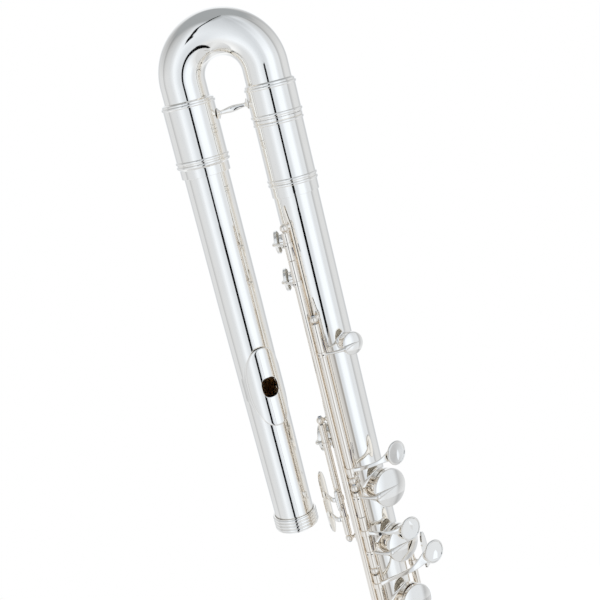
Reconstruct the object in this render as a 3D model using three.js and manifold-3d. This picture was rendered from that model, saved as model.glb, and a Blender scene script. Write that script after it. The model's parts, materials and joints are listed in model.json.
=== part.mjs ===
// Bass flute with a bow: key-work body, foot joint, U-shaped bow and a lip tube beside the body.
// Millimetres. The body's axis is +Z and points up to the bow, the origin is at the foot's open end,
// the player's side is -X, and the lip tube stands at -X beside the body.

import * as THREE from 'three';
import { mergeVertices } from 'three/addons/utils/BufferGeometryUtils.js';
import Module from 'manifold-3d';

const wasm = await Module();
wasm.setup();

// Faces round a turned form
const tube_sides = 22;
const bow_sides = 18;
const bow_steps = 12;
const cup_sides = 12;
const chimney_sides = 12;
const post_sides = 8;
const hinge_sides = 8;
const arm_sides = 5;
const arm_steps = 6;
const curve_parts = 2;

// Fits
const fit_gap = 0.3;
const pad_gap = 0.3;
const overrun = 2;

// Tubes
const tube_radius = 15.75;
const tube_wall = 0.7;
const bore_radius = tube_radius - tube_wall;
const socket_radius = tube_radius + fit_gap;
const leg_spacing = 57.4;

// Tone holes: direction round the tube in degrees from the front (-Y), turning to +X, and their sizes
const cup_line = 52;
const thumb_line = -111;
const g_sharp_line = 165;
const trill_line = -90;
const vent_line = 45;
const large_hole = { radius: 11.25, wall: 0.8, rise: 3.5, cup: 14 };
const foot_hole = { radius: 12, wall: 0.8, rise: 3.5, cup: 15 };
const side_hole = { radius: 10.4, wall: 0.8, rise: 3.5, cup: 13.2 };
const thumb_hole = { radius: 7.4, wall: 0.8, rise: 3.5, cup: 11 };
const vent_hole = { radius: 5.4, wall: 0.7, rise: 3, cup: 8.15 };
const trill_hole = { radius: 4.8, wall: 0.7, rise: 3, cup: 7.5 };

// Steps up the instrument from each tone hole to the next, the first from the foot's open end
const hole_steps = {
  c: 88, c_sharp: 69, d_sharp: 65, d: 62, e: 56, f: 54, f_sharp: 51, g_low: 47, g_high: 36, a: 50,
  b_flat: 45, thumb: 37.8, vent: 74.7, trill_low: 49.5, trill_high: 27.5,
};
const hole_kinds = {
  c: foot_hole, c_sharp: foot_hole, d_sharp: foot_hole, thumb: thumb_hole,
  vent: vent_hole, trill_low: trill_hole, trill_high: trill_hole,
};
const hole_lines = { thumb: thumb_line, vent: vent_line, trill_low: trill_line, trill_high: trill_line };
const holes = {};
let hole_height = 0;
for (const [name, step] of Object.entries(hole_steps)) {
  hole_height += step;
  holes[name] = { ...(hole_kinds[name] ?? large_hole), line: hole_lines[name] ?? cup_line, z: hole_height };
}
holes.g_sharp = { ...side_hole, line: g_sharp_line, z: holes.g_low.z };
const foot_hole_names = ['c', 'c_sharp', 'd_sharp'];
const body_hole_names = Object.keys(holes).filter((name) => !foot_hole_names.includes(name));
const halfway = (a, b) => (holes[a].z + holes[b].z) / 2;

// Joints of the tube, set from the holes beside them
const foot_socket_above = 40;
const foot_socket_depth = 21;
const barrel_above = 38.5;
const barrel_length = 46.5;
const body_in_barrel = 15;
const ferrule_length = 23.7;
const foot_socket_top = holes.d_sharp.z + foot_socket_above;
const foot_socket_floor = foot_socket_top - foot_socket_depth;
const body_bottom = foot_socket_floor + fit_gap;
const barrel_bottom = holes.trill_high.z + barrel_above;
const barrel_top = barrel_bottom + barrel_length;
const body_top = barrel_bottom + body_in_barrel;
const tenon_bottom = body_top + fit_gap;
const bow_ring_height = barrel_top + fit_gap + ferrule_length;

// Cups and pads
const cup_wall = 0.8;
const cup_skirt = 2.6;
const cup_dome = 1.9;
const cup_lift = 1;
const pad_thickness = 3.1;
const dome_radius_shares = [1, 0.66, 0];
const dome_height_shares = [0, 0.7, 1];

// Hinges
const steel_radius = 1.05;
const hinge_bore = steel_radius + fit_gap;
const hinge_radius = 2.65;
const open_angle = 10;

// Arms on the cups
const arm_width = 5.4;
const arm_rise = 1.5;
const arm_drop = 1.8;
const arm_tip_share = 0.38;
const arm_shoulder_share = 0.6;
const arm_point = 0.5;

// Rods: how far their axes stand off the tube, and in which direction
const main_rod_off = 6.45;
const main_rod_angle = -15.5;
const trill_rod_off = 5.75;
const trill_rod_angle = -32;
const thumb_rod_off = 6.05;
const thumb_rod_angle = -70;
const g_sharp_rod_off = 5.05;
const g_sharp_rod_angle = 105;

// Ribs and posts
const rib_thickness = 1.2;
const rib_width_angle = 15;
const rib_parts = 2;
const spear_length = 9;
const rib_past_post = 5;
const post_ball = 2.9;
const post_stem = 1.35;
const post_foot = 2;
const ball_height_shares = [-0.88, -0.2, 0.6, 1];
const ball_radius_shares = [0.46, 1, 0.82, 0];

// Posts, set from the holes beside them
const vent_post_up = 22.7;
const b_flat_post_up = 5.8;
const post_pair = 6.1;
const a_post_down = 16.5;
const bottom_post_up = 3.5;
const trill_post_up = 12;
const trill_post_down = 15;
const thumb_post_up = 18.7;
const thumb_post_spacing = 95.5;
const g_sharp_post_up = 74;
const g_sharp_post_down = 18;
const foot_post_up = 8.5;
const foot_post_down = 22;
const spear_past_post = 14.2;
const trill_touch_z = { high: halfway('e', 'f'), low: halfway('f', 'f_sharp') };
const b_flat_post = holes.b_flat.z + b_flat_post_up;
const main_posts = [
  holes.vent.z + vent_post_up, b_flat_post + post_pair, b_flat_post, holes.a.z - a_post_down,
  halfway('f_sharp', 'g_low'), foot_socket_top + bottom_post_up,
];
const trill_posts = [holes.trill_high.z + trill_post_up, trill_touch_z.high - trill_post_down];
const thumb_post_top = holes.thumb.z + thumb_post_up;
const thumb_posts = [thumb_post_top, thumb_post_top - thumb_post_spacing];
const g_sharp_posts = [holes.g_sharp.z + g_sharp_post_up, holes.g_sharp.z - g_sharp_post_down];
const foot_posts = [holes.d_sharp.z + foot_post_up, holes.c.z - foot_post_down];

// Bow
const bow_radius = leg_spacing / 2;
const sleeve_wall = 2;
const left_sleeve_length = 44.5;
const bow_straight = 10.5;
const sleeve_outer = socket_radius + sleeve_wall;
const ferrule_wall = 1.2;
const ferrule_outer = socket_radius + ferrule_wall;
const ring_rise = 0.8;
const ring_width = 2.2;
const ring_gap = 0.8;
const collar_length = 7;
const collar_wall = 1.25;
const barrel_wall = 0.75;
const barrel_outer = socket_radius + barrel_wall;
const bow_leg_in_sleeve = 14;
const brace_drop = 12.5;
const brace_height = bow_ring_height - brace_drop;
const brace_radius = 2.4;
const brace_waist_share = 0.62;
const brace_flange_radius = 4;
const brace_flange = 1.4;

// Lip tube
const lip_drop = 207;
const lip_height = bow_ring_height - lip_drop;
const crown_drop = 106.5;
const lip_tube_bottom = lip_height - crown_drop;
const lip_taper = 1.05;
const lip_tube_end_radius = tube_radius - lip_taper;
const lip_turn = 30;
const plate_tighter = 1.15;
const plate_length = 59;
const plate_width = 27.4;
const plate_radius = tube_radius - plate_tighter;
const plate_offset = 4.2;
const plate_fullness_share = 0.8;
const plate_wall = 1.3;
const mouth_length = 14.4;
const mouth_width = 11.8;
const mouth_corner = 5;
const riser_wall = 1.6;
const mouth_parts = 3;

// Crown and stopper
const crown_height = 11;
const crown_past_tube = 1.9;
const crown_radius = lip_tube_end_radius + crown_past_tube;
const crown_groove = 0.7;
const crown_bead = 1.7;
const crown_dome = 3.2;
const crown_spigot = 6;
const crown_spigot_wall = 1.4;
const crown_floor = 1.6;
const crown_hole = 2.4;
const stopper_from_mouth = 28;
const stopper_plate = 1.5;
const cork_length = 22;
const stopper_washer = 2;
const screw_radius = crown_hole - fit_gap;

// Touch pieces
const touch_radius = 8.9;
const touch_thickness = 2.2;
const touch_rim = 1.3;
const touch_recess = 0.5;
const touch_arm_radius = 1.7;
const lever_width = 9;
const lever_thickness = 1.8;
const roller_radius = 2.6;
const roller_length = 15;
const roller_pin = 1;

// Foot
const foot_turn = -10;
const foot_ring_length = 6;
const foot_ring_wall = 1.1;

// Finishes
const silver = { color: 0xe9eaec, roughness: 0.12, metalness: 1 };
const satin_silver = { color: 0xd9dadd, roughness: 0.25, metalness: 1 };
const blued_steel = { color: 0x8d9097, roughness: 0.3, metalness: 1 };
const pad_skin = { color: 0xd9c08c, roughness: 0.7, metalness: 0 };
const cork_brown = { color: 0xb08a5a, roughness: 0.9, metalness: 0 };

// Solids and their cuts

const flip = (index) => {
  for (let i = 0; i < index.length; i += 3) [index[i + 1], index[i + 2]] = [index[i + 2], index[i + 1]];
  return index;
};

// Six times the volume that the triangles enclose; below zero when they face inward.
function signed_volume(position, index) {
  const [a, b, c] = [new THREE.Vector3(), new THREE.Vector3(), new THREE.Vector3()];
  let sum = 0;
  for (let i = 0; i < index.length; i += 3) {
    a.fromBufferAttribute(position, index[i]);
    b.fromBufferAttribute(position, index[i + 1]);
    c.fromBufferAttribute(position, index[i + 2]);
    sum += a.dot(b.cross(c));
  }
  return sum;
}

// Welds a geometry, drops its empty triangles and turns its faces outward.
function welded(geometry) {
  const bare = geometry.index ? geometry.toNonIndexed() : geometry.clone();
  for (const name of Object.keys(bare.attributes)) if (name !== 'position') bare.deleteAttribute(name);
  const merged = mergeVertices(bare);
  let index = [];
  const all = merged.index.array;
  for (let i = 0; i < all.length; i += 3) {
    const [a, b, c] = [all[i], all[i + 1], all[i + 2]];
    if (a !== b && b !== c && c !== a) index.push(a, b, c);
  }
  if (signed_volume(merged.attributes.position, index) < 0) index = flip(index);
  merged.setIndex(index);
  return merged;
}

function solid(geometry) {
  const mesh = welded(geometry);
  return new wasm.Manifold(new wasm.Mesh({
    numProp: 3,
    vertProperties: new Float32Array(mesh.attributes.position.array),
    triVerts: new Uint32Array(mesh.index.array),
  }));
}

function geometry_of(manifold) {
  const mesh = manifold.getMesh();
  const geometry = new THREE.BufferGeometry();
  geometry.setAttribute('position', new THREE.BufferAttribute(new Float32Array(mesh.vertProperties), 3));
  geometry.setIndex(Array.from(mesh.triVerts));
  return geometry;
}

const join = (...pieces) => geometry_of(pieces.map(solid).reduce((a, b) => a.add(b)));
const cut = (piece, ...tools) => geometry_of(tools.map(solid).reduce((a, b) => a.subtract(b), solid(piece)));
const common = (a, b) => geometry_of(solid(a).intersect(solid(b)));

// Basic forms

// A form turned about Z from [radius, height] points.
function turned(profile, sides) {
  const points = profile.map(([radius, height]) => new THREE.Vector2(radius, height));
  return new THREE.LatheGeometry(points, sides).rotateX(Math.PI / 2);
}

const rod = (radius, low, high, sides) => turned([[0, low], [radius, low], [radius, high], [0, high]], sides);

const pipe = (inner, outer, low, high, sides) => turned(
  [[inner, low], [outer, low], [outer, high], [inner, high], [inner, low]], sides);

// The same form with its axis along +X instead of +Z.
const outward = (geometry) => geometry.rotateY(Math.PI / 2);

const radians = THREE.MathUtils.degToRad;
const turn_to = (line) => radians(line - 90);
const on_circle = (radius, line) => new THREE.Vector2(
  radius * Math.sin(radians(line)), -radius * Math.cos(radians(line)));

const outline = (points) => new THREE.Shape(points.map(([x, y]) => new THREE.Vector2(x, y)));
const extruded = (shape, depth) => new THREE.ExtrudeGeometry(
  shape, { depth, bevelEnabled: false, curveSegments: curve_parts });

// Turns a form drawn in the XY plane so that it lies in the YZ plane and is extruded along X.
const plan_to_side = new THREE.Matrix4().makeBasis(
  new THREE.Vector3(0, 1, 0), new THREE.Vector3(0, 0, 1), new THREE.Vector3(1, 0, 0));

// A round bar along a smooth curve through the points.
function bar(points, radius) {
  const ring = new THREE.Shape();
  ring.absarc(0, 0, radius, 0, 2 * Math.PI);
  const ring_points = ring.getSpacedPoints(arm_sides).slice(0, arm_sides);
  return new THREE.ExtrudeGeometry(new THREE.Shape(ring_points), {
    steps: arm_steps, extrudePath: new THREE.CatmullRomCurve3(points), bevelEnabled: false,
  });
}

// Scene graph

const flute = new THREE.Group();
const foot = new THREE.Group();
const lip = new THREE.Group();
flute.add(foot, lip);

function add(parent, name, geometry, finish) {
  const shown = welded(geometry);
  shown.computeVertexNormals();
  const mesh = new THREE.Mesh(shown, new THREE.MeshStandardMaterial(finish));
  mesh.name = name;
  parent.add(mesh);
  return mesh;
}

// Tubes with drawn tone holes

const chimney_top = (hole) => tube_radius + hole.rise;

function place_on_line(geometry, hole) {
  return geometry.rotateZ(turn_to(hole.line)).translate(0, 0, hole.z);
}

function chimney(hole) {
  const ring = outward(rod(hole.radius + hole.wall, bore_radius / 2, chimney_top(hole), chimney_sides));
  return place_on_line(ring, hole);
}

function hole_cutter(hole) {
  return place_on_line(outward(rod(hole.radius, 0, chimney_top(hole) + overrun, chimney_sides)), hole);
}

// Joins the chimneys to a tube, clears its bore and opens the holes.
function with_tone_holes(tube, names, low, high) {
  const tone_holes = names.map((name) => holes[name]);
  const blank = join(tube, ...tone_holes.map(chimney));
  const bore = rod(bore_radius, low - overrun, high + overrun, tube_sides);
  return cut(blank, bore, ...tone_holes.map(hole_cutter));
}

function body_tube() {
  const tube = rod(tube_radius, body_bottom, body_top, tube_sides);
  return with_tone_holes(tube, body_hole_names, body_bottom, body_top);
}

// The foot has a socket for the body at its top and a rolled ring at its open end.
function foot_tube() {
  const wide = socket_radius + foot_ring_wall;
  const tube = turned([
    [0, 0], [tube_radius + foot_ring_wall, 0], [tube_radius + foot_ring_wall, ring_width],
    [tube_radius, foot_ring_length], [tube_radius, foot_socket_floor - foot_ring_length],
    [wide, foot_socket_floor - ring_width], [wide, foot_socket_top - 2 * ring_width],
    [wide + ring_rise, foot_socket_top - ring_width], [wide + ring_rise, foot_socket_top],
    [0, foot_socket_top],
  ], tube_sides);
  const drilled = with_tone_holes(tube, foot_hole_names, 0, foot_socket_floor);
  return cut(drilled, rod(socket_radius, foot_socket_floor, foot_socket_top + overrun, tube_sides));
}

// Hinge rods

const line_of = (place) => THREE.MathUtils.radToDeg(Math.atan2(place.x, -place.y));

const rods = {
  main: on_circle(tube_radius + main_rod_off, main_rod_angle),
  trill: on_circle(tube_radius + trill_rod_off, trill_rod_angle),
  thumb: on_circle(tube_radius + thumb_rod_off, thumb_rod_angle),
  g_sharp: on_circle(tube_radius + g_sharp_rod_off, g_sharp_rod_angle),
};

function steel(place, heights) {
  const ends = [Math.max(...heights) + post_ball, Math.min(...heights) - post_ball];
  return rod(steel_radius, ends[1], ends[0], hinge_sides).translate(place.x, place.y, 0);
}

// Ribs and posts

const rib_inner = tube_radius + fit_gap;
const rib_outer = rib_inner + rib_thickness;

// A strap that lies round the tube, pointed like a spear at its upper end if asked.
function rib(line, low, high, pointed) {
  const half = radians(rib_width_angle) / 2;
  const shape = new THREE.Shape();
  shape.absarc(0, 0, rib_outer, -half, half, false);
  shape.absarc(0, 0, rib_inner, half, -half, true);
  const depth = high - low;
  const strap = new THREE.ExtrudeGeometry(shape, { depth, bevelEnabled: false, curveSegments: rib_parts });
  strap.translate(0, 0, low);
  if (!pointed) return strap.rotateZ(turn_to(line));
  const reach = rib_outer * Math.sin(half) + overrun;
  const blade = outline([
    [-reach, low - overrun], [reach, low - overrun], [reach, high - spear_length],
    [0, high + reach], [-reach, high - spear_length],
  ]);
  const plan = extruded(blade, rib_outer + overrun).applyMatrix4(plan_to_side);
  return common(strap, plan).rotateZ(turn_to(line));
}

// A turned post with a ball that holds the steel, standing on its rib.
function post(place, z) {
  const reach = place.length();
  const profile = [
    [0, rib_inner + rib_thickness / 2], [post_foot, rib_inner + rib_thickness / 2],
    [post_stem, rib_outer + 2 * fit_gap],
    ...ball_radius_shares.map((share, i) => [share * post_ball, reach + ball_height_shares[i] * post_ball]),
  ];
  const body = outward(turned(profile, post_sides));
  return body.rotateZ(turn_to(line_of(place))).translate(0, 0, z);
}

// A rib with its posts, bored for the steels.
function posted_rib(strap, stands) {
  const posts = stands.flatMap(({ place, heights }) => heights.map((z) => post(place, z)));
  const bores = stands.map(({ place, heights }) => rod(
    hinge_bore, Math.min(...heights) - 2 * post_ball, Math.max(...heights) + 2 * post_ball, hinge_sides,
  ).translate(place.x, place.y, 0));
  return cut(join(strap, ...posts), ...bores);
}

// Key pieces, drawn shut, about the rod that carries them

// How far a pad face, a cup skirt and a cup's dome stand off the chimney.
const pad_top = pad_gap + pad_thickness;
const recess_top = pad_top + fit_gap;
const skirt_low = pad_gap + cup_lift;
const skirt_high = skirt_low + cup_skirt;
const cup_top = skirt_high + cup_dome;

// Puts a form drawn off a chimney's top, with +X outward, where the hole's cup is.
const seat_on = (hole, geometry) => place_on_line(geometry.translate(chimney_top(hole), 0, 0), hole);

// The rod's place in the same frame.
function rod_from(hole, place) {
  const local = place.clone().rotateAround(new THREE.Vector2(), -turn_to(hole.line));
  return new THREE.Vector2(local.x - chimney_top(hole), local.y);
}

function cup_blank(hole) {
  const dome = dome_radius_shares.map((share, i) => [share * hole.cup, skirt_high + dome_height_shares[i] * cup_dome]);
  return outward(turned([[0, skirt_low], [hole.cup, skirt_low], ...dome], cup_sides));
}

const cup_recess = (hole) => outward(rod(hole.cup - cup_wall, 0, recess_top, cup_sides));
const pad_disc = (hole) => outward(rod(hole.cup - cup_wall - fit_gap, pad_gap, pad_top, cup_sides));

// The arm that rises from the hinge tube, crosses the cup's rim and ends in a point on its dome.
function cup_arm(hole, place, root_z) {
  const hinge = rod_from(hole, place);
  const side = Math.sign(hinge.y);
  const reach = Math.abs(hinge.y);
  const shoulder = arm_shoulder_share * hole.cup;
  const tip = arm_tip_share * hole.cup;
  const top = cup_top + arm_rise;
  const profile = new THREE.Shape();
  profile.moveTo(hinge.x + hinge_radius, side * reach);
  profile.quadraticCurveTo(top, side * (reach - hinge_radius / 2), top, side * shoulder);
  profile.lineTo(cup_top, -side * tip);
  profile.lineTo(recess_top, -side * tip);
  profile.lineTo(recess_top, side * hole.cup);
  profile.quadraticCurveTo(hinge.x, side * hole.cup, hinge.x - hinge_radius / 2, side * reach);
  const low = Math.min(0, root_z - hole.z) - arm_width;
  const high = Math.max(0, root_z - hole.z) + arm_width;
  const slab = extruded(profile, high - low).translate(0, 0, low);
  const root = root_z - hole.z;
  const half = arm_width / 2;
  const blade = outline([
    [side * (reach + hinge_radius), root - half], [side * (reach + hinge_radius), root + half],
    [side * hole.cup, root / 2 + half], [-side * tip, arm_point / 2],
    [-side * tip, -arm_point / 2], [side * hole.cup, root / 2 - half],
  ]);
  const depth = 2 * (top - hinge.x + hinge_radius);
  const plan = extruded(blade, depth).applyMatrix4(plan_to_side).translate(hinge.x - depth / 2 + top / 2, 0, 0);
  return common(slab, plan);
}

// A dished finger disc whose face looks along +X.
function touch_disc() {
  const inner = touch_radius - touch_rim;
  return outward(turned([
    [0, 0], [touch_radius - touch_rim / 2, 0], [touch_radius, touch_thickness / 2],
    [touch_radius - touch_rim / 2, touch_thickness], [inner, touch_thickness],
    [inner - touch_recess, touch_thickness - touch_recess], [0, touch_thickness - touch_recess],
  ], cup_sides));
}

// Moves a point of the resting key to where it is when the key is shut.
const shut_point = (point, place, open) => {
  const flat = new THREE.Vector2(point.x, point.y).rotateAround(place, radians(open));
  return new THREE.Vector3(flat.x, flat.y, point.z);
};

// A finger disc on a curved arm. The disc is placed as it rests, with its face to `facing`.
function touch_on_arm({ place, open, over: cup, root, rise, off, line, facing, lead }) {
  const radius = tube_radius + off;
  const root_z = holes[cup].z + root;
  const z = holes[cup].z + rise;
  const centre = on_circle(radius, line);
  const face = on_circle(1, facing);
  const under = new THREE.Vector3(centre.x, centre.y, z);
  const start = new THREE.Vector3(place.x, place.y, root_z);
  const out = on_circle(place.length() + lead, line_of(place) + (line - line_of(place)) / 3);
  const over = on_circle(radius - touch_arm_radius, line_of(place) + 2 * (line - line_of(place)) / 3);
  const points = [
    start,
    new THREE.Vector3(out.x, out.y, root_z),
    new THREE.Vector3(over.x, over.y, root_z + (z - root_z) / 4),
    under.clone().addScaledVector(new THREE.Vector3(face.x, face.y, 0), touch_recess),
  ].map((point) => shut_point(point, place, open));
  const disc = touch_disc().rotateZ(turn_to(facing) + radians(open));
  const seat = shut_point(under, place, open);
  disc.translate(seat.x, seat.y, seat.z);
  return join(bar(points, touch_arm_radius), disc);
}

const hinge_blank = (low, high, place) => rod(hinge_radius, low, high, hinge_sides).translate(place.x, place.y, 0);
const hinge_cutter = (low, high, place) => rod(
  hinge_bore, low - overrun, high + overrun, hinge_sides).translate(place.x, place.y, 0);

// Hangs the pieces of a key on its rod: drawn shut, turned back by the angle at which the key rests.
function hang(parent, name, place, open, key, pads, riders = []) {
  const group = new THREE.Group();
  group.position.set(place.x, place.y, 0);
  group.rotation.z = -radians(open);
  parent.add(group);
  add(group, name, key.translate(-place.x, -place.y, 0), silver);
  for (const [pad_name, pad] of pads) add(group, pad_name, pad.translate(-place.x, -place.y, 0), pad_skin);
  for (const [rider_name, rider] of riders) add(group, rider_name, rider.translate(-place.x, -place.y, 0), silver);
}

// Makes a key from its cups, its stretch of hinge tube and what else it carries.
function key(parent, { name, place, tube, bore = tube, cups = [], extras = [], riders = [], open = 0 }) {
  const blanks = cups.map(({ hole }) => seat_on(hole, cup_blank(hole)));
  const arms = cups.map(({ hole, root }) => seat_on(hole, cup_arm(hole, place, root)));
  const recesses = cups.map(({ hole }) => seat_on(hole, cup_recess(hole)));
  const whole = join(hinge_blank(tube[0], tube[1], place), ...arms, ...blanks, ...extras);
  const body = cut(whole, hinge_cutter(bore[0], bore[1], place), ...recesses);
  const pads = cups.map(({ hole, pad }) => [pad, seat_on(hole, pad_disc(hole))]);
  hang(parent, name, place, open, body, pads, riders);
}

// Stretches of the main rod between its posts

const past_post = post_ball + fit_gap;
const between = (posts, i) => [posts[i + 1] + past_post, posts[i] - past_post];
const [vent_tube, , left_tube, g_tube, right_tube] = [0, 1, 2, 3, 4].map((i) => between(main_posts, i));
const split = (span, ...cuts) => {
  const edges = [span[0], ...cuts, span[1]];
  return edges.slice(1).map((high, i) => [
    edges[i] + (i ? fit_gap / 2 : 0), high - (i < edges.length - 2 ? fit_gap / 2 : 0)]);
};

// The left hand's middle finger sits below the B flat cup, so that cup's tube is short.
const b_flat_tube_down = 17;
const b_flat_tube_low = holes.b_flat.z - b_flat_tube_down;
const [a_tube, b_flat_tube] = split(left_tube, b_flat_tube_low);
const [d_tube, e_tube, f_tube, f_sharp_tube] = split(
  right_tube, halfway('d', 'e'), halfway('e', 'f'), halfway('f', 'f_sharp') + arm_width);

// Finger discs: heights of the arm's root and of the disc over the cup that each one is set from,
// and how far the disc stands off the tube
const index_touch = { over: 'b_flat', root: 20, rise: 24.2, off: 15.25, line: 62.5, facing: 47, lead: 2 };
const middle_touch = { over: 'a', root: 15, rise: 10.3, off: 15.25, line: 55.5, facing: 40, lead: 2 };
const ring_touch = { over: 'g_high', root: 23, rise: 37, off: 24.85, line: 70, facing: 41, lead: 2 };

const vent_root_down = 3;

function main_keys() {
  const place = rods.main;
  const open = open_angle;
  const on_main = (name, tube, cups, extras = []) => key(flute, { name, place, tube, cups, extras, open });
  const touch = (finger) => touch_on_arm({ place, open, ...finger });
  const vent_root = holes.vent.z - vent_root_down;
  on_main('key_c_sharp', vent_tube, [{ hole: holes.vent, root: vent_root, pad: 'pad_c_sharp' }], [touch(index_touch)]);
  on_main('key_b_flat', b_flat_tube, [{ hole: holes.b_flat, root: holes.b_flat.z - arm_drop, pad: 'pad_b_flat' }]);
  on_main('key_a', a_tube, [{ hole: holes.a, root: holes.a.z - arm_drop, pad: 'pad_a' }], [touch(middle_touch)]);
  on_main('key_g', g_tube, [
    { hole: holes.g_high, root: holes.g_high.z - arm_drop, pad: 'pad_g_high' },
    { hole: holes.g_low, root: holes.g_low.z - arm_drop, pad: 'pad_g_low' },
  ], [touch(ring_touch)]);
  const plain = [['f_sharp', f_sharp_tube], ['f', f_tube], ['e', e_tube], ['d', d_tube]];
  for (const [note, tube] of plain) {
    on_main(`key_${note}`, tube, [{ hole: holes[note], root: holes[note].z - arm_drop, pad: `pad_${note}` }]);
  }
}

// A flat lever blade along the tube, pointed at one end, with its face to `facing`.
function blade(radius, line, low, high, width, point, facing = line) {
  const middle = (low + high) / 2;
  const half = width / 2;
  const shape = new THREE.Shape();
  const ends = point > 0 ? [low, high] : [high, low];
  shape.moveTo(-half, ends[0]);
  shape.lineTo(-half, middle);
  shape.quadraticCurveTo(-half, ends[1], 0, ends[1]);
  shape.quadraticCurveTo(half, ends[1], half, middle);
  shape.lineTo(half, ends[0]);
  const plate = extruded(shape, lever_thickness).applyMatrix4(plan_to_side);
  return plate.rotateZ(radians(facing - line)).translate(radius, 0, 0).rotateZ(turn_to(line));
}

// Hangs a key that is pinned to its steel, which turns with it inside the other keys' tubes.
function pinned_key(parent, { name, place, spans, posts, hole, pad, extras, riders = [], open = 0 }) {
  const shaft = rod(steel_radius, posts[1] - post_ball, posts[0] + post_ball, hinge_sides);
  const whole = join(
    ...spans.map(([low, high]) => hinge_blank(low, high, place)), shaft.translate(place.x, place.y, 0),
    seat_on(hole, cup_arm(hole, place, hole.z)), seat_on(hole, cup_blank(hole)), ...extras);
  const bored = cut(whole, seat_on(hole, cup_recess(hole)));
  hang(parent, name, place, open, bored, [[pad, seat_on(hole, pad_disc(hole))]], riders);
}

// Trill keys: small cups at the top and touches between cups of the right hand, on one steel that
// is pinned to the high key.
const trill_touch_off = 13.25;
const trill_touch_radius = tube_radius + trill_touch_off;
const trill_touch_line = 30;
const trill_touch_length = 17;
const trill_joint_up = 16.5;

function trill_touch(touch_z) {
  const place = rods.trill;
  const low = touch_z - trill_touch_length / 2;
  const plate = blade(
    trill_touch_radius, trill_touch_line, low, low + trill_touch_length, lever_width, 1);
  const rest = on_circle(trill_touch_radius + lever_thickness / 2, trill_touch_line);
  const bend = on_circle(trill_touch_radius, line_of(rods.main));
  const rise = on_circle(place.length() + past_post, line_of(place));
  const points = [place, rise, bend, rest].map((p) => new THREE.Vector3(p.x, p.y, touch_z));
  return join(bar(points, touch_arm_radius), plate);
}

function trill_keys() {
  const place = rods.trill;
  const [foot_span, middle_span, top_span] = split(
    between(trill_posts, 0), holes.f.z, holes.trill_low.z + trill_joint_up);
  key(flute, {
    name: 'key_trill_low', place, tube: middle_span, extras: [trill_touch(trill_touch_z.low)],
    cups: [{ hole: holes.trill_low, root: holes.trill_low.z, pad: 'pad_trill_low' }],
  });
  pinned_key(flute, {
    name: 'key_trill_high', place, spans: [foot_span, top_span], posts: trill_posts,
    hole: holes.trill_high, pad: 'pad_trill_high', extras: [trill_touch(trill_touch_z.high)],
  });
}

// Thumb keys: the B key with its cup, and the B flat lever above its touch.
const thumb_touch_off = 15.75;
const thumb_touch_radius = tube_radius + thumb_touch_off;
const thumb_touch_line = -95;
const thumb_touch_facing = -122;
const thumb_touch_up = 1.2;
const thumb_touch_length = 29.4;
const thumb_arm_up = 15.5;
const b_flat_leaf_length = 20.9;
const leaf_arm_up = 2;
const bridge_turn = 11;
const thumb_touch_low = thumb_posts[1] + thumb_touch_up;
const leaf_low = thumb_touch_low + thumb_touch_length + fit_gap;
const leaf_arm_height = leaf_low + leaf_arm_up;

function thumb_touch(low, length, arm_z, point, open) {
  const place = rods.thumb;
  const plate = blade(
    thumb_touch_radius, thumb_touch_line, low, low + length, lever_width, point, thumb_touch_facing);
  const tip = on_circle(thumb_touch_radius + lever_thickness / 2, thumb_touch_line);
  const knee = on_circle((thumb_touch_radius + place.length()) / 2, line_of(place));
  const arm = bar([place, knee, tip].map((p) => new THREE.Vector3(p.x, p.y, arm_z)), touch_arm_radius);
  const whole = join(arm, plate);
  return whole.translate(-place.x, -place.y, 0).rotateZ(radians(open)).translate(place.x, place.y, 0);
}

function thumb_keys() {
  const place = rods.thumb;
  const open = -open_angle;
  const [b_span, leaf_span, cup_span] = split(
    between(thumb_posts, 0), leaf_arm_height - hinge_radius - touch_arm_radius, leaf_arm_height + arm_width);
  const touch = thumb_touch(
    thumb_touch_low, thumb_touch_length, thumb_touch_low + thumb_arm_up, -1, open);
  key(flute, {
    name: 'key_thumb_b', place, open, tube: cup_span, bore: [b_span[0], cup_span[1]],
    cups: [{ hole: holes.thumb, root: holes.thumb.z, pad: 'pad_thumb' }],
    extras: [hinge_blank(b_span[0], b_span[1], place), touch, thumb_bridge(b_span, cup_span)],
  });
  const leaf = thumb_touch(leaf_low, b_flat_leaf_length, leaf_arm_height, 1, open);
  key(flute, { name: 'key_b_flat_lever', place, tube: leaf_span, extras: [leaf], open });
}

// The bar beside the rod that ties the thumb touch to the cup, past the B flat lever's tube.
function thumb_bridge(b_span, cup_span) {
  const side = on_circle(rods.thumb.length() + hinge_radius + touch_arm_radius, thumb_rod_angle + bridge_turn);
  const ends = [b_span[1] - touch_arm_radius - fit_gap, cup_span[0] + touch_arm_radius + fit_gap];
  const [low, high] = ends;
  const points = [
    new THREE.Vector3(rods.thumb.x, rods.thumb.y, low), new THREE.Vector3(side.x, side.y, low),
    new THREE.Vector3(side.x, side.y, high), new THREE.Vector3(rods.thumb.x, rods.thumb.y, high),
  ];
  const [a, b, c, d] = points;
  const straight = (from, to) => bar([from, from.clone().lerp(to, 1 / 2), to], touch_arm_radius);
  const past = new THREE.Vector3(0, 0, touch_arm_radius);
  return join(straight(a, b), straight(b.clone().sub(past), c.clone().add(past)), straight(c, d));
}

// G sharp key: a shut cup behind the body and a lever blade at the little finger's side.
const g_sharp_touch = { off: 15.25, line: 93, up: 62, length: 20, arm_up: 4 };

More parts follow.
